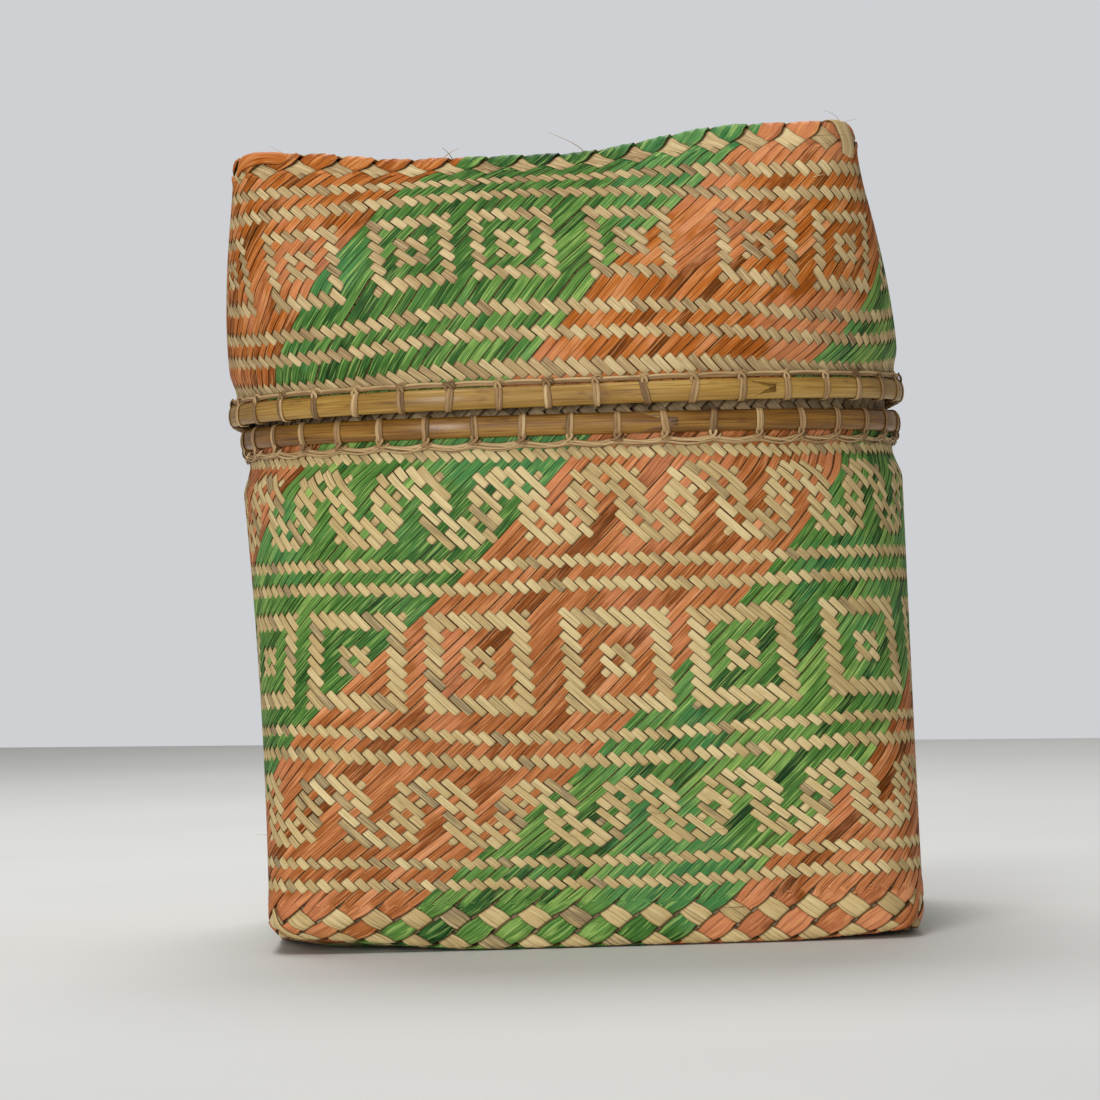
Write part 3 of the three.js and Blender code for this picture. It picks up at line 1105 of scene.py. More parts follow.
@dataclass
class Plait:
    """Strips plaited over a form. From `wide_start` to `wide_end`, groups of them close up into wide ones.

    A strip swings in and out about its `depth` under the face. It holds its level for `hold` rows to each
    side of a crossing; beside a dive, a dyed strip stays on top for `overlap` rows more and a plain one for
    as much less. Widths are shares of the room between two lines. Strips lie off their lines by `drift` and
    wander by about `wander` rows. A wide float is arched, down to `arch_low` at its ends, and narrows there
    by `leaf`; the upper end of a dyed one stands `proud`.
    """

    form: Form
    draft: Draft
    first_row: int
    last_row: int
    count: int = STRIPS
    depth: float = 0.45
    swing: float = 0.2
    thickness: float = 0.38
    hold: float = 0.27
    overlap: float = 0.14
    wide_overlap: float = 0.2
    wide_swing: float = 0.42
    arch_low: float = 0.3
    leaf: float = 0.16
    proud: float = 0.25
    narrowest: float = 0.86
    widest: float = 1.0
    narrowest_wide: float = 0.93
    plain_gap: float = 0.12
    drift: float = 0.03
    wander: float = 0.1
    wide_start: float = NEVER
    wide_end: float = NEVER + 1
    row_length: float = 2.7
    seed: int = 1

    def strips(self, name: str, family: Family, numbers: Array, finish: Finish) -> bpy.types.Object:
        """Plaits some strips of one family.

        Args:
            name: name of the piece.
            family: the family they belong to.
            numbers: the strips, by number round the basket.
            finish: what they are dressed in.

        Returns:
            The finished piece.
        """
        is_plain = family is Family.PLAIN
        rows = self.last_row - self.first_row + 1
        bm, index, side, station = sheets(len(numbers), 1, 2 * rows - 1)
        strip = numbers[index]

        # Each row has two stations, between which the strip holds its level
        row = self.first_row + station // 2
        way = np.where(station % 2 == 0, -1, 1)
        top = self._on_top(family, strip, row)
        dives = top != self._on_top(family, strip, row + way)
        wide = smooth(row.astype(float), self.wide_start, self.wide_end)
        longer = mix(self.overlap, self.wide_overlap, wide) * dives * np.where(top == is_plain, -1, 1)
        step = row + way * (self.hold + longer)

        # What each strip of the basket was dealt
        chance = np.random.default_rng(self.seed + 17 * is_plain)
        seed, width = chance.random((2, self.count))
        shade = chance.beta(2.0, 2.0, self.count)
        drift = chance.normal(0, self.drift, self.count)

        # Where its two edges lie, by itself and closed up with its group
        slope = 1 if is_plain else -1
        first = GROUP * grouped(strip)
        pick = first % self.count
        middle = slope * (GROUP * grouped(strip + slope * row) - strip)
        arch = np.cos(np.clip(2 * (step - middle) / GROUP, -1, 1) * math.pi / 2)
        wide = smooth(step, self.wide_start, self.wide_end)
        narrow = (side - 0.5) * mix(self.narrowest, self.widest, width)[strip] + drift[strip]
        fill = mix(self.narrowest_wide, 1.0, width[pick]) - self.plain_gap * is_plain
        joined = (strip - first + side - 0.5) * fill * (1 - self.leaf * (1 - arch)) - (strip - first)
        off = mix(narrow, joined, wide)
        around, down = self._stray(strip + (off + slope * step) / 2, step - slope * off)
        proud = self.proud * np.clip(0.5 + (middle - step) / GROUP, 0, 1) * (top & (not is_plain))
        swing = mix(self.swing, self.wide_swing * mix(self.arch_low, 1.0, arch) + proud, wide)
        points = self.form.point(around / self.count, down, np.where(top, 1, -1) * swing - self.depth)

        # A group that has closed up looks like one strip
        one = wide > 0.5
        pick = np.where(one, pick, strip)
        # Its mark is set where it lies under other strips, which the finish darkens as painted shade
        chances = np.column_stack([shade[pick], seed[pick], ~top])
        across = np.where(one, (strip - first + 1 + side) / GROUP, side)
        place = np.column_stack([step * self.row_length, across])
        return thicken(finished(bm, name, points, place, chances, finish), self.thickness)

    def _on_top(self, family: Family, strip: Array, row: Array) -> Array:
        """Whether a family's strips are on top at some rows."""
        if family is Family.DYED:
            return ~self.draft.plain_on_top(strip, strip - row)
        return self.draft.plain_on_top(strip + row, strip)

    def _stray(self, around: Array, rows: Array) -> tuple[Array, Array]:
        """Lets the strips wander a little, as plaited by hand, in waves round the basket."""
        chance = np.random.default_rng(self.seed + 40)
        for count, reach in ((2, 1.6), (5, 1.0), (9, 0.8), (17, 0.5)):
            for down in (0.05, 0.13):
                start, way = chance.uniform(0, 2 * math.pi), chance.choice((-1, 1))
                wave = np.sin(2 * math.pi * count * around / self.count + way * down * rows + start)
                astray = self.wander * reach * wave
                around = around + astray / 2
                rows = rows + astray
        return around, rows


@dataclass
class Mat:
    """The plaited square that closes a basket: wide strips on the slant, over one and under one.

    Its strips go on from the wall's groups at `edge_row`. `line_offset` is where its lines lie between whole
    pitches, and `outwards` is 1 where its outside looks up and -1 where it looks down. It is cut to half
    width `trim` with round corners, by `cuts` straight cuts.
    """

    form: Form
    height: float
    half: float
    trim: float
    corner: float
    outwards: int
    line_offset: float = 0.0
    edge_row: int = 0
    pitches: int = 16
    swing: float = 0.14
    thickness: float = 0.26
    hold: float = 0.4
    narrowest: float = 0.9
    widest: float = 0.97
    cuts: int = 16
    seed: int = 3

    @property
    def pitch(self) -> float:
        """Distance between the lines of the lattice, along X."""
        return 2 * self.half / self.pitches

    def build(self, name: str, finishes: Sequence[Finish], dye: Callable[[Array], Array]) -> bpy.types.Object:
        """Plaits the mat as one piece.

        Args:
            name: name of the piece.
            finishes: its finishes, first that of its undyed strips.
            dye: gives the number of the finish of a dyed strip, by its number in the wall.

        Returns:
            The new object.
        """
        lines = np.arange(-self.pitches, self.pitches) + self.line_offset
        bm, index, side, station = sheets(2 * len(lines), 1, 2 * len(lines) - 1)
        family = index // len(lines)
        for face in bm.faces:
            face.material_index = int(family[face.verts[0].index])
        line = lines[index % len(lines)]
        cell = lines[0] + station // 2
        shade, seed, width = np.random.default_rng(self.seed).random((3, 2 * len(lines)))
        across = self.pitch * (line + (side - 0.5) * mix(self.narrowest, self.widest, width[index]))
        along = self.pitch * (cell + self.hold * np.where(station % 2 == 0, -1, 1))
        x = np.where(family == 0, across - along, along - across) / 2
        y = (across + along) / 2
        top = (line + cell) % 2 == family
        points = np.column_stack([x, y, np.where(top, self.swing, -self.swing)])
        # The mark is set where a strip lies under the other family, which the finish darkens as painted shade
        chances = np.column_stack([shade[index], seed[index], ~top])
        piece = finished(bm, name, points, np.column_stack([along, side]), chances, finishes[0])
        for finish in finishes[1:]:
            piece.data.materials.append(finish.material())
        self._trim(piece.data)
        self._dress(piece.data, dye)
        self._lay(piece.data)
        return thicken(piece, self.thickness)

    def _trim(self, mesh: bpy.types.Mesh) -> None:
        """Cuts the mat to its square with round corners."""
        bm = bmesh.new()
        bm.from_mesh(mesh)
        for number in range(self.cuts):
            angle = number * 2 * math.pi / self.cuts
            normal = Vector((math.cos(angle), math.sin(angle), 0))
            reach = (self.trim - self.corner) * (abs(normal.x) + abs(normal.y)) + self.corner
            cut = {"plane_co": normal * reach * MM, "plane_no": normal, "clear_outer": True}
            bmesh.ops.bisect_plane(bm, geom=[*bm.verts, *bm.edges, *bm.faces], **cut)
        bm.to_mesh(mesh)
        bm.free()

    def _dress(self, mesh: bpy.types.Mesh, dye: Callable[[Array], Array]) -> None:
        """Gives each face the finish of the wall's strip that it goes on from, by its nearest side."""
        way = -self.outwards
        side = STRIPS / 4
        for face in mesh.polygons:
            quarter = round(math.atan2(face.center.x, -face.center.y) / (math.pi / 2)) % 4
            near = Matrix.Rotation(-quarter * math.pi / 2, 2) @ face.center.xy / MM / self.half
            strip = side * (quarter + way * (way * near.x + near.y + 1) / 2) + self.edge_row / 2
            dyed = face.material_index == (quarter + (self.outwards > 0)) % 2
            face.material_index = int(dye(np.array(strip))) if dyed else 0

    def _lay(self, mesh: bpy.types.Mesh) -> None:
        """Lays the flat mat on its form."""
        points = np.empty(3 * len(mesh.vertices), np.float32)
        mesh.vertices.foreach_get("co", points)
        x, y, level = points.reshape(-1, 3).astype(float).T / MM
        height = np.full(len(x), self.height)
        x = x + self.form.section(height).shift
        z = height + self.outwards * level + self.form.lift(x, y, height)
        laid = self.form.settle(np.column_stack([x, y, z]))
        mesh.vertices.foreach_set("co", (laid * MM).astype(np.float32).ravel())


# Sub-assemblies


def hand_over(pieces: Sequence[bpy.types.Object], body: str, node: str) -> None:
    """Lets pieces ride on a body and stand for a node.

    Args:
        pieces: the finished pieces.
        body: the body that they move with.
        node: the node that they replace.
    """
    for piece in pieces:
        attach(piece, body)
        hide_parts(node)
        LOG.info("%s: %d faces, for %s", piece.name, len(piece.data.polygons), node)


@dataclass
class OuterBasket:
    """An outer basket: dyed strips in broad bands of two colours, plain strips, and the mat that closes it.

    `turns` are the places round it, in dyed strips, where green begins and ends by turns.
    """

    name: str
    body: str
    plait: Plait
    mat: Mat
    turns: tuple[float, ...]
    warm: Finish
    plain: Finish

    def build(self) -> None:
        """Plaits the basket."""
        numbers = np.arange(self.plait.count)
        green = self.is_green(numbers)
        half = self.plait.count // 2
        dyed_sets = ("green", numbers[green], Finish.GREEN), ("warm", numbers[~green], self.warm)
        plain_sets = ("right", numbers[:half]), ("left", numbers[half:])
        dyed = [
            self.plait.strips(f"{self.name}_{word}_strips", Family.DYED, strips, finish)
            for word, strips, finish in dyed_sets
        ]
        plain = [
            self.plait.strips(f"{self.name}_plain_strips_{word}", Family.PLAIN, strips, self.plain)
            for word, strips in plain_sets
        ]
        finishes = (self.plain, Finish.GREEN, self.warm)
        plain.append(
            self.mat.build(f"{self.name}_mat", finishes, lambda strip: np.where(self.is_green(strip), 1, 2))
        )
        node = f"{self.name}_outer_basket"
        hand_over(dyed, self.body, node)
        hand_over(plain, self.body, node)

    def is_green(self, strips: Array) -> Array:
        """Whether dyed strips are green."""
        first = self.turns[0]
        return np.searchsorted(self.turns, (strips - first) % self.plait.count + first, "right") % 2 == 1


@dataclass
class Lining:
    """An inner basket of plain strips, with a band folded over its edge.

    The edge lies at the height `edge`, and `way` is 1 where it looks up and -1 where it looks down.
    """

    name: str
    body: str
    plait: Plait
    mat: Mat
    edge: float
    way: int
    band: float = 6.0
    band_thickness: float = 0.25
    band_length: float = 720.0
    band_chances: Place = (0.55, 0.4, 0.0)

    def build(self) -> None:
        """Plaits the lining."""
        numbers = np.arange(self.plait.count)
        pieces = [
            self.plait.strips(f"{self.name}_lining_slash", Family.DYED, numbers, Finish.LINING),
            self.plait.strips(f"{self.name}_lining_backslash", Family.PLAIN, numbers, Finish.LINING),
            self.mat.build(f"{self.name}_lining_mat", (Finish.LINING,), np.zeros_like),
            self._edge_band(),
        ]
        hand_over(pieces, self.body, f"{self.name}_inner_basket")

    def _edge_band(self) -> bpy.types.Object:
        """A strip folded over the edge of the wall."""
        low = -self.band
        columns, stations = 9, 193
        fold = curve(((0.2, low, 0), (0.25, -1, 0), (-0.4, 0.25, 0), (-1.05, -1, 0), (-1, low, 0)), columns)
        bm, _, column, station = sheets(1, columns - 1, stations - 1)
        turn = station / (stations - 1)
        out, up, _ = fold[column].T
        form = self.plait.form
        flat = form.section(np.full(len(turn), self.edge)).point(turn, out)
        points = form.settle(np.column_stack([flat, self.edge + self.way * up]))
        place = np.column_stack([turn * self.band_length, up / self.band])
        chances = np.tile(self.band_chances, (len(turn), 1))
        piece = finished(bm, f"{self.name}_lining_edge", points, place, chances, Finish.LINING)
        return thicken(weld(piece, ends=False), self.band_thickness)


@dataclass(frozen=True)
class Fold:
    """A wide strip folded round a corner of a basket.

    `path` gives places on it: millimetres to the right of the corner, row of the plait and distance out.
    `corner` counts the corners to the right from the front right one. `span` is the way across the strip, in
    millimetres along and in rows.
    """

    corner: int
    path: tuple[Place, ...]
    finish: Finish
    span: tuple[float, float] = (0.0, 3.0)
    crown: float = 0.25
    thickness: float = 0.4

    def build(self, name: str, form: Form, around: float, seed: int) -> bpy.types.Object:
        """Makes the strip.

        Args:
            name: name of the piece.
            form: the form it lies on.
            around: length of the way round the form there.
            seed: sets its shade and its fibres.

        Returns:
            The new object.
        """
        stations, columns = 4 * len(self.path), 4
        path = curve(self.path, stations)
        bm, _, column, station = sheets(1, columns, stations - 1)
        along, row, out = path[station].T
        side = column / columns - 0.5
        ends = smooth(np.minimum(station, stations - 1 - station).astype(float), -2, 3)
        along_span, row_span = self.span
        turn = (self.corner + 0.5) / 4 + (along + side * along_span * ends) / around
        crown = self.crown * (1 - 4 * side * side) * ends
        points = form.point(turn, row + side * row_span * ends, out + crown)
        shade, fibres = np.random.default_rng(seed).uniform(0.35, 0.75, 2)
        chances = np.tile([shade, fibres, 0.0], (len(along), 1))
        place = np.column_stack([along, column / columns])
        return thicken(finished(bm, name, points, place, chances, self.finish), self.thickness)


@dataclass
class Trimmings:
    """What stands out from an outer basket: strips folded round its corners, loose fibres and split ends.

    `rows` are the rows where the fibres come out, and `splinters` are places of stouter ones, as shares of
    the way round and rows, with how far each stands out and how far it leans along.
    """

    name: str
    body: str
    form: Form
    rows: tuple[float, float]
    folds: tuple[Fold, ...]
    splinters: tuple[tuple[float, float, float, float], ...]
    fibres: int = 34
    around: float = 760.0
    fibre_reach: tuple[float, float] = (1.5, 5.0)
    fibre_lean: float = 6.0
    fibre_curl: float = 0.8
    fibre_width: float = 0.16
    splinter_curl: float = 0.1
    splinter_width: float = 0.34
    tip: float = 0.35
    seed: int = 50

    def build(self) -> None:
        """Makes the folds, the fibres and the splinters."""
        folds = [
            fold.build(f"{self.name}_corner_fold_{number}", self.form, self.around, self.seed + number)
            for number, fold in enumerate(self.folds)
        ]
        node = f"{self.name}_outer_basket"
        hand_over(folds, self.body, node)
        hand_over([self._fibres(), self._splinters()], self.body, node)

    def _fibres(self) -> bpy.types.Object:
        """Fine fibres that curl out of the plait."""
        chance = np.random.default_rng(self.seed)
        turn = chance.random(self.fibres)
        row = chance.uniform(*self.rows, self.fibres)
        reach = chance.uniform(*self.fibre_reach, self.fibres)
        lean = chance.normal(0, self.fibre_lean, self.fibres)
        curl = chance.uniform(-self.fibre_curl, self.fibre_curl, self.fibres)
        paths = self._paths(turn, row, reach, lean, curl)
        return self._strands(paths, self.fibre_width, f"{self.name}_loose_fibres")

    def _splinters(self) -> bpy.types.Object:
        """Stiffer split ends."""
        turn, row, reach, lean = np.array(self.splinters).T
        paths = self._paths(turn, row, reach, lean, np.full(len(turn), self.splinter_curl))
        return self._strands(paths, self.splinter_width, f"{self.name}_split_ends")

    def _paths(self, turn: Array, row: Array, reach: Array, lean: Array, curl: Array) -> Array:
        """Paths that leave the face at their places, lean along it and curl."""
        stations = 9
        share = np.linspace(0, 1, stations)
        turn, row, reach, lean, curl = (values[:, None] for values in (turn, row, reach, lean, curl))
        out = reach * (share * (1 + curl * (1 - share))) + 0.1
        places = turn + lean * share**1.5 / self.around, row - curl * share, out
        return self.form.point(*(place.ravel() for place in places)).reshape(-1, stations, 3)

    def _strands(self, paths: Array, width: float, name: str) -> bpy.types.Object:
        """Tapering strands along some paths."""
        taper = np.linspace(1, self.tip, paths.shape[1])
        flat_side = np.array([0.31, -0.84, 0.44])
        strands = Strands(paths, flat_side, width, width * 0.7, taper, corners=5, seed=self.seed)
        return strands.build(name, lambda points: points, Finish.BINDING)


@dataclass(frozen=True)
class Joints:
    """The joints of a cane, where it swells with a groove in the middle and is stained."""

    places: tuple[float, ...]
    swell: float = 0.28
    swell_width: float = 2.6
    groove: float = 0.3
    groove_width: float = 0.7
    stain: float = 0.9
    stain_width: float = 1.1

    def distance(self, along: Array, length: float) -> Array:
        """How far places along a hoop of some length are from the nearest joint."""
        gap = (along[:, None] - self.places + length / 2) % length - length / 2
        return np.abs(gap).min(axis=1)

    def relief(self, gap: Array) -> Array:
        """How far the cane stands out at distances from a joint."""
        return self.swell * bell(gap, self.swell_width) - self.groove * bell(gap, self.groove_width)

    def mark(self, gap: Array) -> Array:
        """How stained it is at distances from a joint."""
        return self.stain * bell(gap, self.stain_width)


@dataclass(frozen=True)
class Seam:
    """Where a hoop's ends overlap: the first one thins out, and the last one rises over it and narrows."""

    length: float = 26.0
    thin: float = 0.12
    rise: float = 0.3
    flush: float = 0.98
    gap: float = 0.1
    narrowing: float = 0.62
    narrow_from: float = 0.45
    cut_from: float = 0.9
    stain: float = 0.5

    def over(self, past: Array) -> Array:
        """How far the last end has come over the first one, by how far along it is past once round."""
        return np.clip(past / self.length, 0, 1)

    def out(self, out: Array, along: Array, over: Array) -> Array:
        """The hoop's distances from the wall, with its ends shaped."""
        full = RIM.hoop_thickness + self.rise
        under = np.clip(along / self.length, 0, 1)
        out = np.minimum(out, RIM.clearance + full * mix(self.thin, 1, under))
        return np.maximum(out, RIM.clearance + full * self.flush * over) + self.gap * over

    def up(self, up: Array, over: Array) -> Array:
        """The hoop's heights, with its last end narrowed."""
        middle = RIM.hoop_height / 2
        return middle + (up - middle) * (1 - self.narrowing * smooth(over, self.narrow_from, 1))

    def mark(self, over: Array) -> Array:
        """How stained the cut of the last end is."""
        return self.stain * smooth(over, self.cut_from, 1)


@dataclass
class Rim:
    """The mouth of a basket, where its hoop is lashed on.

    Places on it are given flat: along the rim from its first wrap, out from the wall and up from the hoop's
    bottom. The hoop starts `start` along the rim, and its joints are given along the rim too.
    """

    name: str
    body: str
    form: Form
    level: float
    low: float
    first_wrap: float
    cane: Finish
    start: float
    joints: Joints
    seam: Seam = Seam()
    wraps: int = 48
    crown: float = 0.65
    hoop_stations: int = 520
    strand_pair: float = 0.62
    pair_gather: float = 0.25
    strand_width: float = 1.22
    strand_thickness: float = 0.52
    strand_lift: float = 0.29
    strand_slant: float = 0.35
    strand_stray: float = 0.08
    knot_width: float = 1.0
    knot_thickness: float = 0.45
    knot_stray: float = 0.12
    seed: int = 1

    @property
    def section(self) -> Section:
        """The square at the rim."""
        return self.form.section(np.array([self.level]))

    @property
    def length(self) -> float:
        """Length of the wall's face round the rim."""
        return float(4 * self.section.quarter[0])

    @property
    def bay(self) -> float:
        """Distance from wrap to wrap."""
        return self.length / self.wraps

    @property
    def wrap_places(self) -> Array:
        """Where the wraps are along the rim."""
        return np.arange(self.wraps) * self.bay

    def bend(self, points: Array) -> Array:
        """Takes flat places to where they are on the box."""
        straight = float(self.section.half[0] - self.section.corner[0])
        turn = (points[:, 0] + self.first_wrap * self.bay - straight) / self.length
        flat = self.section.point(turn, points[:, 1])
        return self.form.settle(np.column_stack([flat, points[:, 2] + self.low]))

    def face(self, stations: int) -> tuple[Array, Array]:
        """Angles up the hoop's round side, from nearly -90 to nearly 90 degrees, and the places there."""
        angle = np.linspace(-1, 1, stations) * math.pi * 0.4999
        out = RIM.clearance + RIM.hoop_thickness * (1 - self.crown + self.crown * np.cos(angle) ** 0.9)
        return angle, np.column_stack([out, RIM.hoop_height / 2 * (1 + np.sin(angle))])

    def hoop(self) -> bpy.types.Object:
        """A split cane bent round the mouth, flat inside and crowned outside, with its ends overlapped."""
        _, arc = self.face(stations=13)
        inside = np.column_stack([np.full(3, RIM.clearance), RIM.hoop_height * np.array([0.96, 0.5, 0.04])])
        profile = np.vstack([arc, inside, arc[:1]])
        corners, last = len(profile) - 1, self.hoop_stations - 1
        bm, _, corner, station = sheets(1, corners, last)
        along = station / last * (self.length + self.seam.length)
        out, up = profile[corner].T

        # Its joints stand out on the round side only
        gap = self.joints.distance(along + self.start, self.length)
        out = np.where(out > RIM.clearance + 0.1, out + self.joints.relief(gap), out)

        over = self.seam.over(along - self.length)
        out, up = self.seam.out(out, along, over), self.seam.up(up, over)
        shade, seed = np.full((2, len(along)), [[0.5], [0.37 + 0.1 * self.seed]])
        chances = np.column_stack([shade, seed, self.joints.mark(gap) + self.seam.mark(over)])
        place = np.column_stack([along, corner / corners])
        points = self.bend(np.column_stack([along + self.start, out, up]))
        return weld(finished(bm, f"{self.name}_hoop", points, place, chances, self.cane), sharp=40.0)

    def lashing(self) -> bpy.types.Object:
        """Pairs of strands round the hoop and through the wall."""
        lift = self.strand_lift
        angle, arc = self.face(stations=9)
        front = arc + lift * np.column_stack([np.cos(angle), np.sin(angle)])
        high = RIM.hoop_height + lift
        back = -RIM.wall - 0.35
        behind = np.array([(back + 0.2, high), (back, high - 0.8), (back, 0.8 - lift), (back + 0.2, -lift)])
        loop = np.vstack([front, behind, front[:1]])
        middle = np.array([1.0, RIM.hoop_height / 2])
        faces = np.column_stack([np.zeros(len(loop)), loop - middle])
        chance = np.random.default_rng(self.seed)
        pair = np.tile([-self.strand_pair, self.strand_pair], self.wraps)
        slant = np.repeat(chance.normal(0, self.strand_slant, self.wraps), 2)
        slant += chance.normal(0, self.strand_stray, 2 * self.wraps)
        rise = (loop[:, 1] - middle[1]) / middle[1]
        beside = pair[:, None] * (1 - self.pair_gather * np.abs(rise))
        paths = np.empty((2 * self.wraps, len(loop), 3))
        paths[:, :, 0] = np.repeat(self.wrap_places, 2)[:, None] + beside + slant[:, None] * rise
        paths[:, :, 1:] = loop
        sizes = self.strand_width, self.strand_thickness
        strands = Strands(paths, unit(faces), *sizes, closed=True, seed=self.seed)
        return strands.build(f"{self.name}_wraps", self.bend, Finish.BINDING)

    def knots(self, below: bool) -> list[bpy.types.Object]:
        """The hitches where the wraps meet the running strand.

        Args:
            below: whether they lie below the hoop.

        Returns:
            The new pieces.
        """
        over = (
            *((-0.7, 2.2, 5.4), (-0.9, 2.1, 6.8), (-0.5, 1.7, 8.2), (0.4, 1.6, 8.9)),
            *((1.3, 1.4, 8.7), (1.9, 1.0, 7.9), (2.4, 0.4, 7.3)),
        )
        under = (
            *((0.8, 2.2, 5.6), (0.7, 2.3, 7.0), (0.0, 2.2, 8.0)),
            *((-0.9, 1.7, 8.6), (-1.7, 1.1, 8.6), (-2.3, 0.4, 8.2)),
        )
        stations = 15
        ends = np.minimum(np.arange(stations), np.arange(stations)[::-1])
        chance = np.random.default_rng(self.seed + 5)
        pieces = []
        for word, points in (("over", over), ("under", under)):
            path = curve(points, stations)
            if below:
                path[:, 2] = RIM.hoop_height - path[:, 2]
            paths = np.repeat(path[None], self.wraps, axis=0)
            paths[:, :, 0] *= chance.uniform(0.8, 1.25, (self.wraps, 1))
            paths[:, :, 2] += chance.normal(0, self.knot_stray, (self.wraps, 1))
            paths[:, :, 0] += self.wrap_places[:, None]
            faces = np.array([0.0, 1.0, -0.35 if below else 0.35])
            sizes = self.knot_width, self.knot_thickness, np.clip(ends / 2, 0.02, 1)
            strands = Strands(paths, faces, *sizes, corners=6, seed=self.seed + 7)
            pieces.append(strands.build(f"{self.name}_knots_{word}", self.bend, Finish.BINDING))
        return pieces

    def running(self, strand: "Running") -> bpy.types.Object:
        """A strand that runs round the rim from knot to knot."""
        steps, sway = 8, 0.15
        chance = np.random.default_rng(strand.seed).random(self.wraps + 1)
        chance[-1] = chance[0]
        station = np.arange(self.wraps * steps + 1)
        share = (station % steps) / steps
        lot = chance[station // steps]
        out = strand.out + sway * np.sin(2 * math.pi * share) * (2 * lot - 1)
        paths = np.stack([station * self.bay / steps, out, strand.height(share, lot)], axis=1)[None]
        faces = np.array([0.0, 1.0, 0.0])
        sizes = strand.width, strand.thickness
        strands = Strands(paths, faces, *sizes, closed=True, paler=strand.paler, seed=strand.seed)
        return strands.build(f"{self.name}_{strand.name}", self.bend, Finish.BINDING)


@dataclass(frozen=True)
class Running:
    """A strand that runs round a rim, `out` from the wall and at the knots `level` over the hoop's bottom.

    Between two knots it bows up by `bow` and, by the bay's chance, up to `spread`, more evenly or less by
    `power`. A slanted one falls or climbs towards the next knot instead, and jumps back before it.
    """

    name: str
    level: float
    bow: float
    spread: float
    out: float
    width: float
    thickness: float
    seed: int
    paler: float = 0.0
    power: float = 1.0
    slanted: bool = False

    def height(self, share: Array, lot: Array) -> Array:
        """Height over the hoop's bottom, by the share of the way to the next knot and the bay's chance."""
        arch = share * smooth(share, 1, 0.7) if self.slanted else np.sin(math.pi * share) ** self.power
        return self.level + (self.bow + self.spread * lot) * arch


@dataclass
class LashedRim:
    """A rim with all that lies round it. The garland hangs below the hoop."""

    rim: Rim
    lashing: tuple[Running, ...]
    garland: tuple[Running, ...]

    def build(self) -> None:
        """Makes the hoop, the wraps, the knots and the strands between them."""
        rim = self.rim
        node = f"{rim.name}_rim"
        lashing = [rim.lashing(), *rim.knots(bool(self.garland)), *map(rim.running, self.lashing)]
        hand_over([rim.hoop()], rim.body, f"{node}_hoop")
        hand_over(lashing, rim.body, f"{node}_lashing")
        hand_over([*map(rim.running, self.garland)], rim.body, f"{node}_garland")


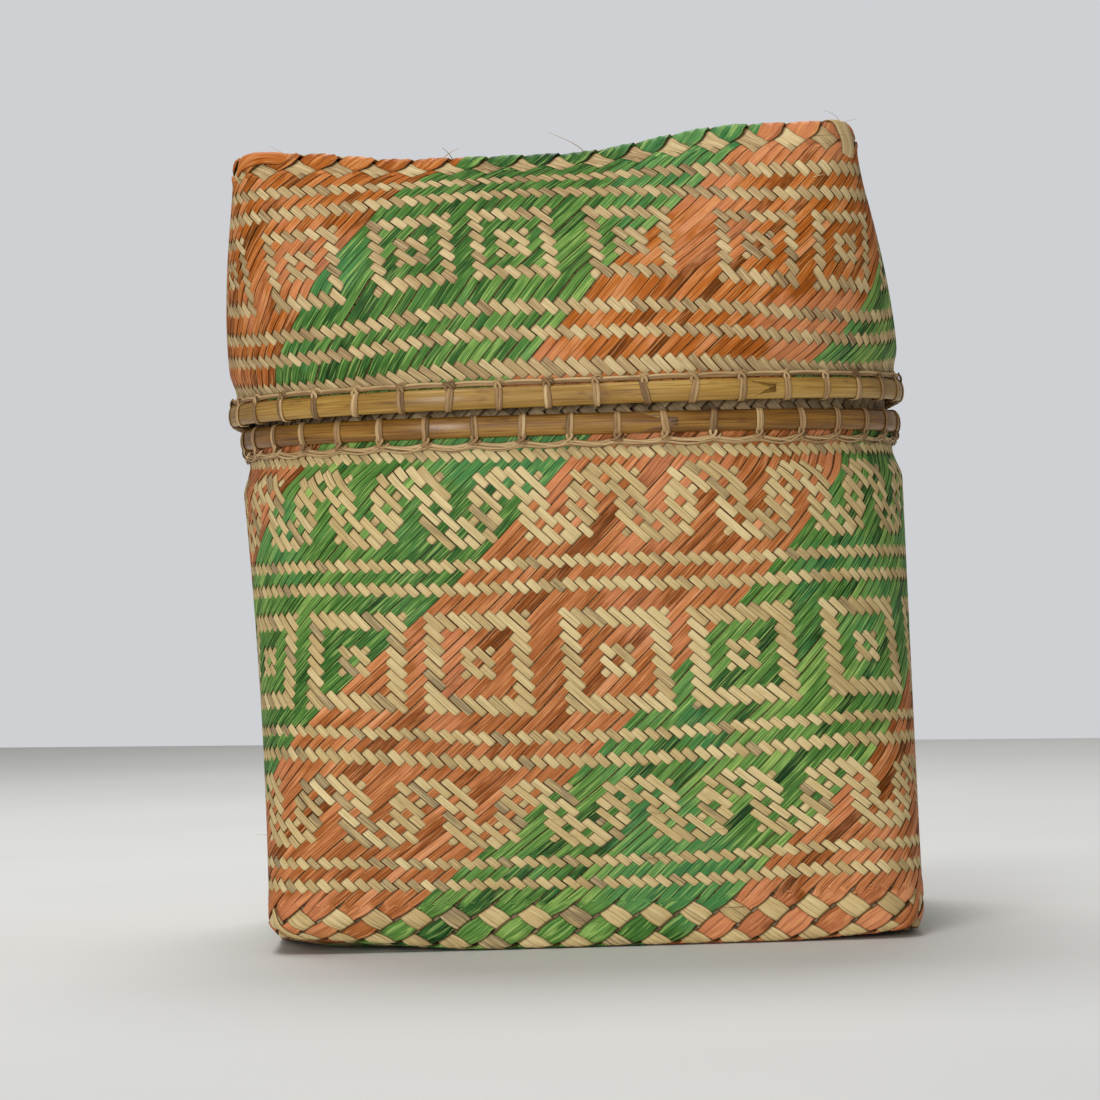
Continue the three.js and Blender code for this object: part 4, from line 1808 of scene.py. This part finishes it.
@dataclass(frozen=True)
class Studio:
    """The pale floor, the soft light and the camera, at the photograph's distance, height and slight roll.

    Its sizes are in metres. A lamp is given by its name, place, width and watts.
    """

    floor_reach: float = 1.5
    floor_turn: float = math.radians(-29.8)
    background: Colour = screen(206, 208, 211)
    soft_light: Colour = screen(252, 251, 248)
    soft_strength: float = 0.28
    lamps: tuple[tuple[str, Place, float, float], ...] = (
        ("back", (-0.15, 0.8, 1.6), 1.0, 21.5),
        ("top", (-0.35, -1.0, 1.9), 0.8, 12.0),
        ("front", (-0.7, -2.4, 0.42), 0.8, 26.5),
    )
    aim: Place = (0.0, 0.0, 0.12)
    sensor: float = 36.0
    focal_pixels: float = 4534.0
    frame_pixels: float = 1100.0
    clip: tuple[float, float] = (0.05, 50.0)
    camera_place: Place = (-0.0113, -1.521, 0.114)
    camera_pitch: float = math.radians(90.43)
    camera_roll: float = math.radians(-1.65)

    def build(self) -> None:
        """Sets the stage."""
        bpy.context.scene.view_settings.view_transform = "Standard"
        self._floor()
        self._world()
        for lamp in self.lamps:
            self._lamp(*lamp)
        self._camera()

    def _floor(self) -> None:
        """A plain pale floor that the box stands on."""
        bm = bmesh.new()
        bmesh.ops.create_grid(bm, x_segments=1, y_segments=1, size=self.floor_reach)
        bmesh.ops.rotate(bm, verts=bm.verts, matrix=Matrix.Rotation(self.floor_turn, 3, "Z"))
        mesh = bpy.data.meshes.new("floor")
        bm.to_mesh(mesh)
        bm.free()
        mesh.materials.append(FloorFinish().build())
        floor = bpy.data.objects.new("floor", mesh)
        bpy.context.scene.collection.objects.link(floor)

    def _world(self) -> None:
        """Soft light from all sides, seen by the camera as a pale grey wall."""
        world = bpy.data.worlds.new("studio")
        world.use_nodes = True
        nodes, links = world.node_tree.nodes, world.node_tree.links
        soft = nodes["Background"]
        soft.inputs["Color"].default_value = (*self.soft_light, 1.0)
        soft.inputs["Strength"].default_value = self.soft_strength
        wall = nodes.new("ShaderNodeBackground")
        wall.inputs["Color"].default_value = (*self.background, 1.0)
        path = nodes.new("ShaderNodeLightPath")
        choose = nodes.new("ShaderNodeMixShader")
        links.new(path.outputs["Is Camera Ray"], choose.inputs[0])
        links.new(soft.outputs[0], choose.inputs[1])
        links.new(wall.outputs[0], choose.inputs[2])
        links.new(choose.outputs[0], nodes["World Output"].inputs["Surface"])
        bpy.context.scene.world = world

    def _lamp(self, name: str, place: Place, size: float, energy: float) -> None:
        """A round soft lamp that looks at the middle of the box."""
        lamp = bpy.data.lights.new(name, "AREA")
        lamp.shape = "DISK"
        lamp.size = size
        lamp.energy = energy
        holder = bpy.data.objects.new(name, lamp)
        holder.location = place
        direction = Vector(self.aim) - holder.location
        holder.rotation_mode = "QUATERNION"
        holder.rotation_quaternion = direction.to_track_quat("-Z", "Y")
        bpy.context.scene.collection.objects.link(holder)

    def _camera(self) -> None:
        """The camera."""
        camera = bpy.data.cameras.new("camera")
        camera.sensor_width = self.sensor
        camera.lens = self.sensor * self.focal_pixels / self.frame_pixels
        camera.clip_start, camera.clip_end = self.clip
        holder = bpy.data.objects.new("camera", camera)
        pitch = Matrix.Rotation(self.camera_pitch, 4, "X")
        roll = Matrix.Rotation(self.camera_roll, 4, "Z")
        holder.matrix_world = Matrix.Translation(self.camera_place) @ pitch @ roll
        bpy.context.scene.collection.objects.link(holder)
        bpy.context.scene.camera = holder


# The box


@dataclass
class PlaitedBox:
    """All the sub-assemblies of the box.

    Squares are listed one by one along the front, and placed evenly along the other sides.
    """

    body: BodyForm = field(default_factory=BodyForm)
    lid: LidForm = field(default_factory=LidForm)
    body_bands: Bands = bands("P2 D1 S13 D2 P2 D2 P2 D3 Q17 D3 P2 D2 P2 D2 S13 D2 P2 D2 P2 D6")
    lid_bands: Bands = bands("D2 P2 D2 P2 D2 Q13 D3 P2 D2 P2 D3 P3 D1")
    body_squares: tuple[float, ...] = (
        *(-28.5, -18.5, -8.5, 2.5, 12.5),
        *(23.5 + np.round(np.arange(13) * 140 / 13)),
    )
    lid_squares: tuple[float, ...] = (
        *(-20.0, -11.0, -3.0, 6.0, 16.0),
        *(24.0 + np.round(np.arange(16) * 139 / 15)),
    )

    def outer_baskets(self) -> list[OuterBasket]:
        """The two baskets that are seen."""
        body_draft = BandedDraft(
            self.body_bands,
            square_rim=(3, 4),
            square_places=self.body_squares,
            scroll_starts=(6, 5),
            wide_rows=(-math.inf, 27),
        )
        lid_draft = BandedDraft(
            self.lid_bands, square_rim=(2.5, 3), square_places=self.lid_squares, wide_rows=(-1, math.inf)
        )
        body_plait = Plait(self.body, body_draft, first_row=-6, last_row=90, wide_start=76.0, wide_end=79.5)
        lid_wide = {"wide_start": -0.2, "wide_end": -2.6, "leaf": 0.05, "proud": 0.8}
        lid_plait = Plait(self.lid, lid_draft, first_row=-9, last_row=43, seed=5, **lid_wide)
        body_square = {"height": 0.42, "half": 97.9, "trim": 99.9, "corner": 12.0}
        lid_square = {"height": 79.35, "half": 92.8, "trim": 95.4, "corner": 11.6}
        body_mat = Mat(self.body, **body_square, outwards=-1, edge_row=90)
        lid_mat = Mat(self.lid, **lid_square, outwards=1, line_offset=0.5, edge_row=-9)
        body_turns = (-23.5, 0.5, 25.5, 49.5, 73.5, 96.5, 120.5, 143.5)
        lid_turns = (-9.5, 14.5, 38.5, 62.5, 86.5, 110.5, 134.5, 158.5)
        return [
            OuterBasket("body", "box_body", body_plait, body_mat, body_turns, Finish.SALMON, Finish.PLAIN),
            OuterBasket("lid", "lid", lid_plait, lid_mat, lid_turns, Finish.ORANGE, Finish.PLAIN_LID),
        ]

    def linings(self) -> list[Lining]:
        """The two baskets inside."""
        beside = RIM.wall + RIM.clearance
        body_edge, lid_edge = 191.0, 8.2

        def body_offset(height: Array) -> Array:
            """The lining leaves room for the wraps near the mouth."""
            return beside + (RIM.wrap_room - RIM.clearance) * np.clip(height / self.body.seat, 0, 1)

        def lid_offset(height: Array) -> Array:
            """The lining follows the outer basket."""
            return np.full_like(height, beside, dtype=float)

        body_form = LiningForm(
            self.body,
            body_offset,
            rows=(0, 64, 65, 68),
            heights=(body_edge, 3.4, 1.9, 1.9),
            insets=(0, 0, 1.2, 7.0),
        )
        lid_form = LiningForm(
            self.lid,
            lid_offset,
            rows=(-3, -1, 0, 22),
            heights=(77.9, 77.9, 76.8, lid_edge),
            insets=(7.0, 1.2, 0, 0),
        )
        sizes = {"depth": 0.4, "swing": 0.17, "thickness": 0.32, "narrowest": 0.8, "widest": 0.93}
        shared = {"count": 128, **sizes}
        body_plait = Plait(body_form, Draft(), first_row=0, last_row=67, seed=9, **shared)
        lid_plait = Plait(lid_form, Draft(), first_row=-2, last_row=22, seed=11, **shared)
        body_square = {"height": 1.65, "half": 98.0, "trim": 100.0, "corner": 11.0}
        lid_square = {"height": 78.1, "half": 91.4, "trim": 93.6, "corner": 10.4}
        body_mat = Mat(body_form, **body_square, outwards=1, seed=13)
        lid_mat = Mat(lid_form, **lid_square, outwards=-1, seed=15)
        return [
            Lining("body", "box_body", body_plait, body_mat, edge=body_edge, way=1),
            Lining("lid", "lid", lid_plait, lid_mat, edge=lid_edge, way=-1),
        ]

    def rims(self) -> list[LashedRim]:
        """The two lashed rims."""
        body = Rim(
            "body",
            "box_body",
            self.body,
            level=self.body.seat,
            low=self.body.height - RIM.hoop_height,
            first_wrap=0.95,
            cane=Finish.BODY_CANE,
            start=22.5,
            joints=Joints((60.0, 197.0, 330.0, 471.0, 612.0)),
        )
        lid = Rim(
            "lid",
            "lid",
            self.lid,
            level=0.0,
            low=0.0,
            first_wrap=0.55,
            cane=Finish.LID_CANE,
            start=60.7,
            joints=Joints((32.0, 154.0, 311.0, 460.0, 608.0)),
            seed=2,
        )

        # Running strands: level, bow, spread, distance out, width, thickness, seed and how much paler
        body_lashing = (Running("strand", -1.5, -0.9, -0.5, 0.75, 1.3, 0.7, 21),)
        garland = (
            Running("garland_low", -2.6, -0.5, -0.9, 1.0, 0.7, 0.5, 22, 0.25),
            Running("garland_slant", -1.8, -1.4, -1.0, 1.3, 0.5, 0.4, 23, 0.35, slanted=True),
            Running("garland_thin", -3.2, -0.2, -1.1, 0.6, 0.5, 0.4, 24, 0.15, power=2.0),
        )
        lid_lashing = (
            Running("strand", 7.7, 0.2, 0.3, 0.7, 1.6, 0.7, 25, 0.1, power=0.7),
            Running("second_strand", 8.2, 0.1, 0.4, 1.1, 0.8, 0.5, 26, 0.25),
        )
        return [LashedRim(body, body_lashing, garland), LashedRim(lid, lid_lashing, ())]

    def trimmings(self) -> list[Trimmings]:
        """What stands out from the outer baskets."""
        # Paths of strips folded round a corner, and further down the split ends
        over = ((-5.0, -2.0, 0.5), (-2.0, -4.6, 0.9), (3.0, -6.0, 1.1), (9.0, -6.2, 0.9), (14.0, -5.6, 0.3))
        back_over = tuple((-along, row, out) for along, row, out in over)
        down = (
            *((-3.0, -8.5, -0.4), (-1.2, -6.8, 0.5), (0.8, -5.4, 0.7)),
            *((2.4, -3.0, 0.6), (3.2, -0.8, 0.3), (3.6, 1.0, -0.7)),
        )
        lid_folds = (
            Fold(3, over, Finish.ORANGE),
            Fold(0, down, Finish.PLAIN_LID, span=(7.0, 0.8)),
            Fold(1, back_over, Finish.GREEN),
            Fold(2, over, Finish.ORANGE),
        )
        under = ((-6.0, 79.0, 0.4), (-3.0, 81.5, 0.8), (0.0, 84.0, 0.9), (3.0, 86.5, 0.7), (6.0, 88.0, 0.3))
        beside = tuple((-along, row, out) for along, row, out in under)
        body_folds = (
            Fold(3, under, Finish.PLAIN),
            Fold(0, beside, Finish.SALMON),
            Fold(1, under, Finish.SALMON),
            Fold(2, beside, Finish.PLAIN),
        )
        lid_ends = (
            *((0.017, -6.5, 7.0, -11.0), (0.958, -6.0, 4.0, 5.0)),
            *((0.962, -6.0, 4.5, -3.0), (0.109, 4.0, 3.0, 3.0)),
        )
        body_ends = (
            *((0.058, 80.0, 4.0, -9.0), (0.916, 84.0, 3.0, -2.0)),
            *((0.128, 79.0, 3.0, 2.0), (0.884, 2.0, 4.0, 5.0)),
        )
        lid_rows, body_rows = (-7.5, -3.0), (60.0, 88.0)
        more = {"fibres": 30, "around": 810.0, "seed": 60}
        return [
            Trimmings("lid", "lid", self.lid, lid_rows, lid_folds, lid_ends),
            Trimmings("body", "box_body", self.body, body_rows, body_folds, body_ends, **more),
        ]

    def build(self) -> None:
        """Builds everything, from the outside in."""
        for part in (*self.outer_baskets(), *self.trimmings(), *self.linings(), *self.rims()):
            part.build()


def main() -> None:
    """Builds the box and its studio."""
    logging.basicConfig(level=logging.INFO, format="%(message)s")
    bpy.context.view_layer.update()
    PlaitedBox().build()
    Studio().build()


if __name__ == "__main__":
    main()
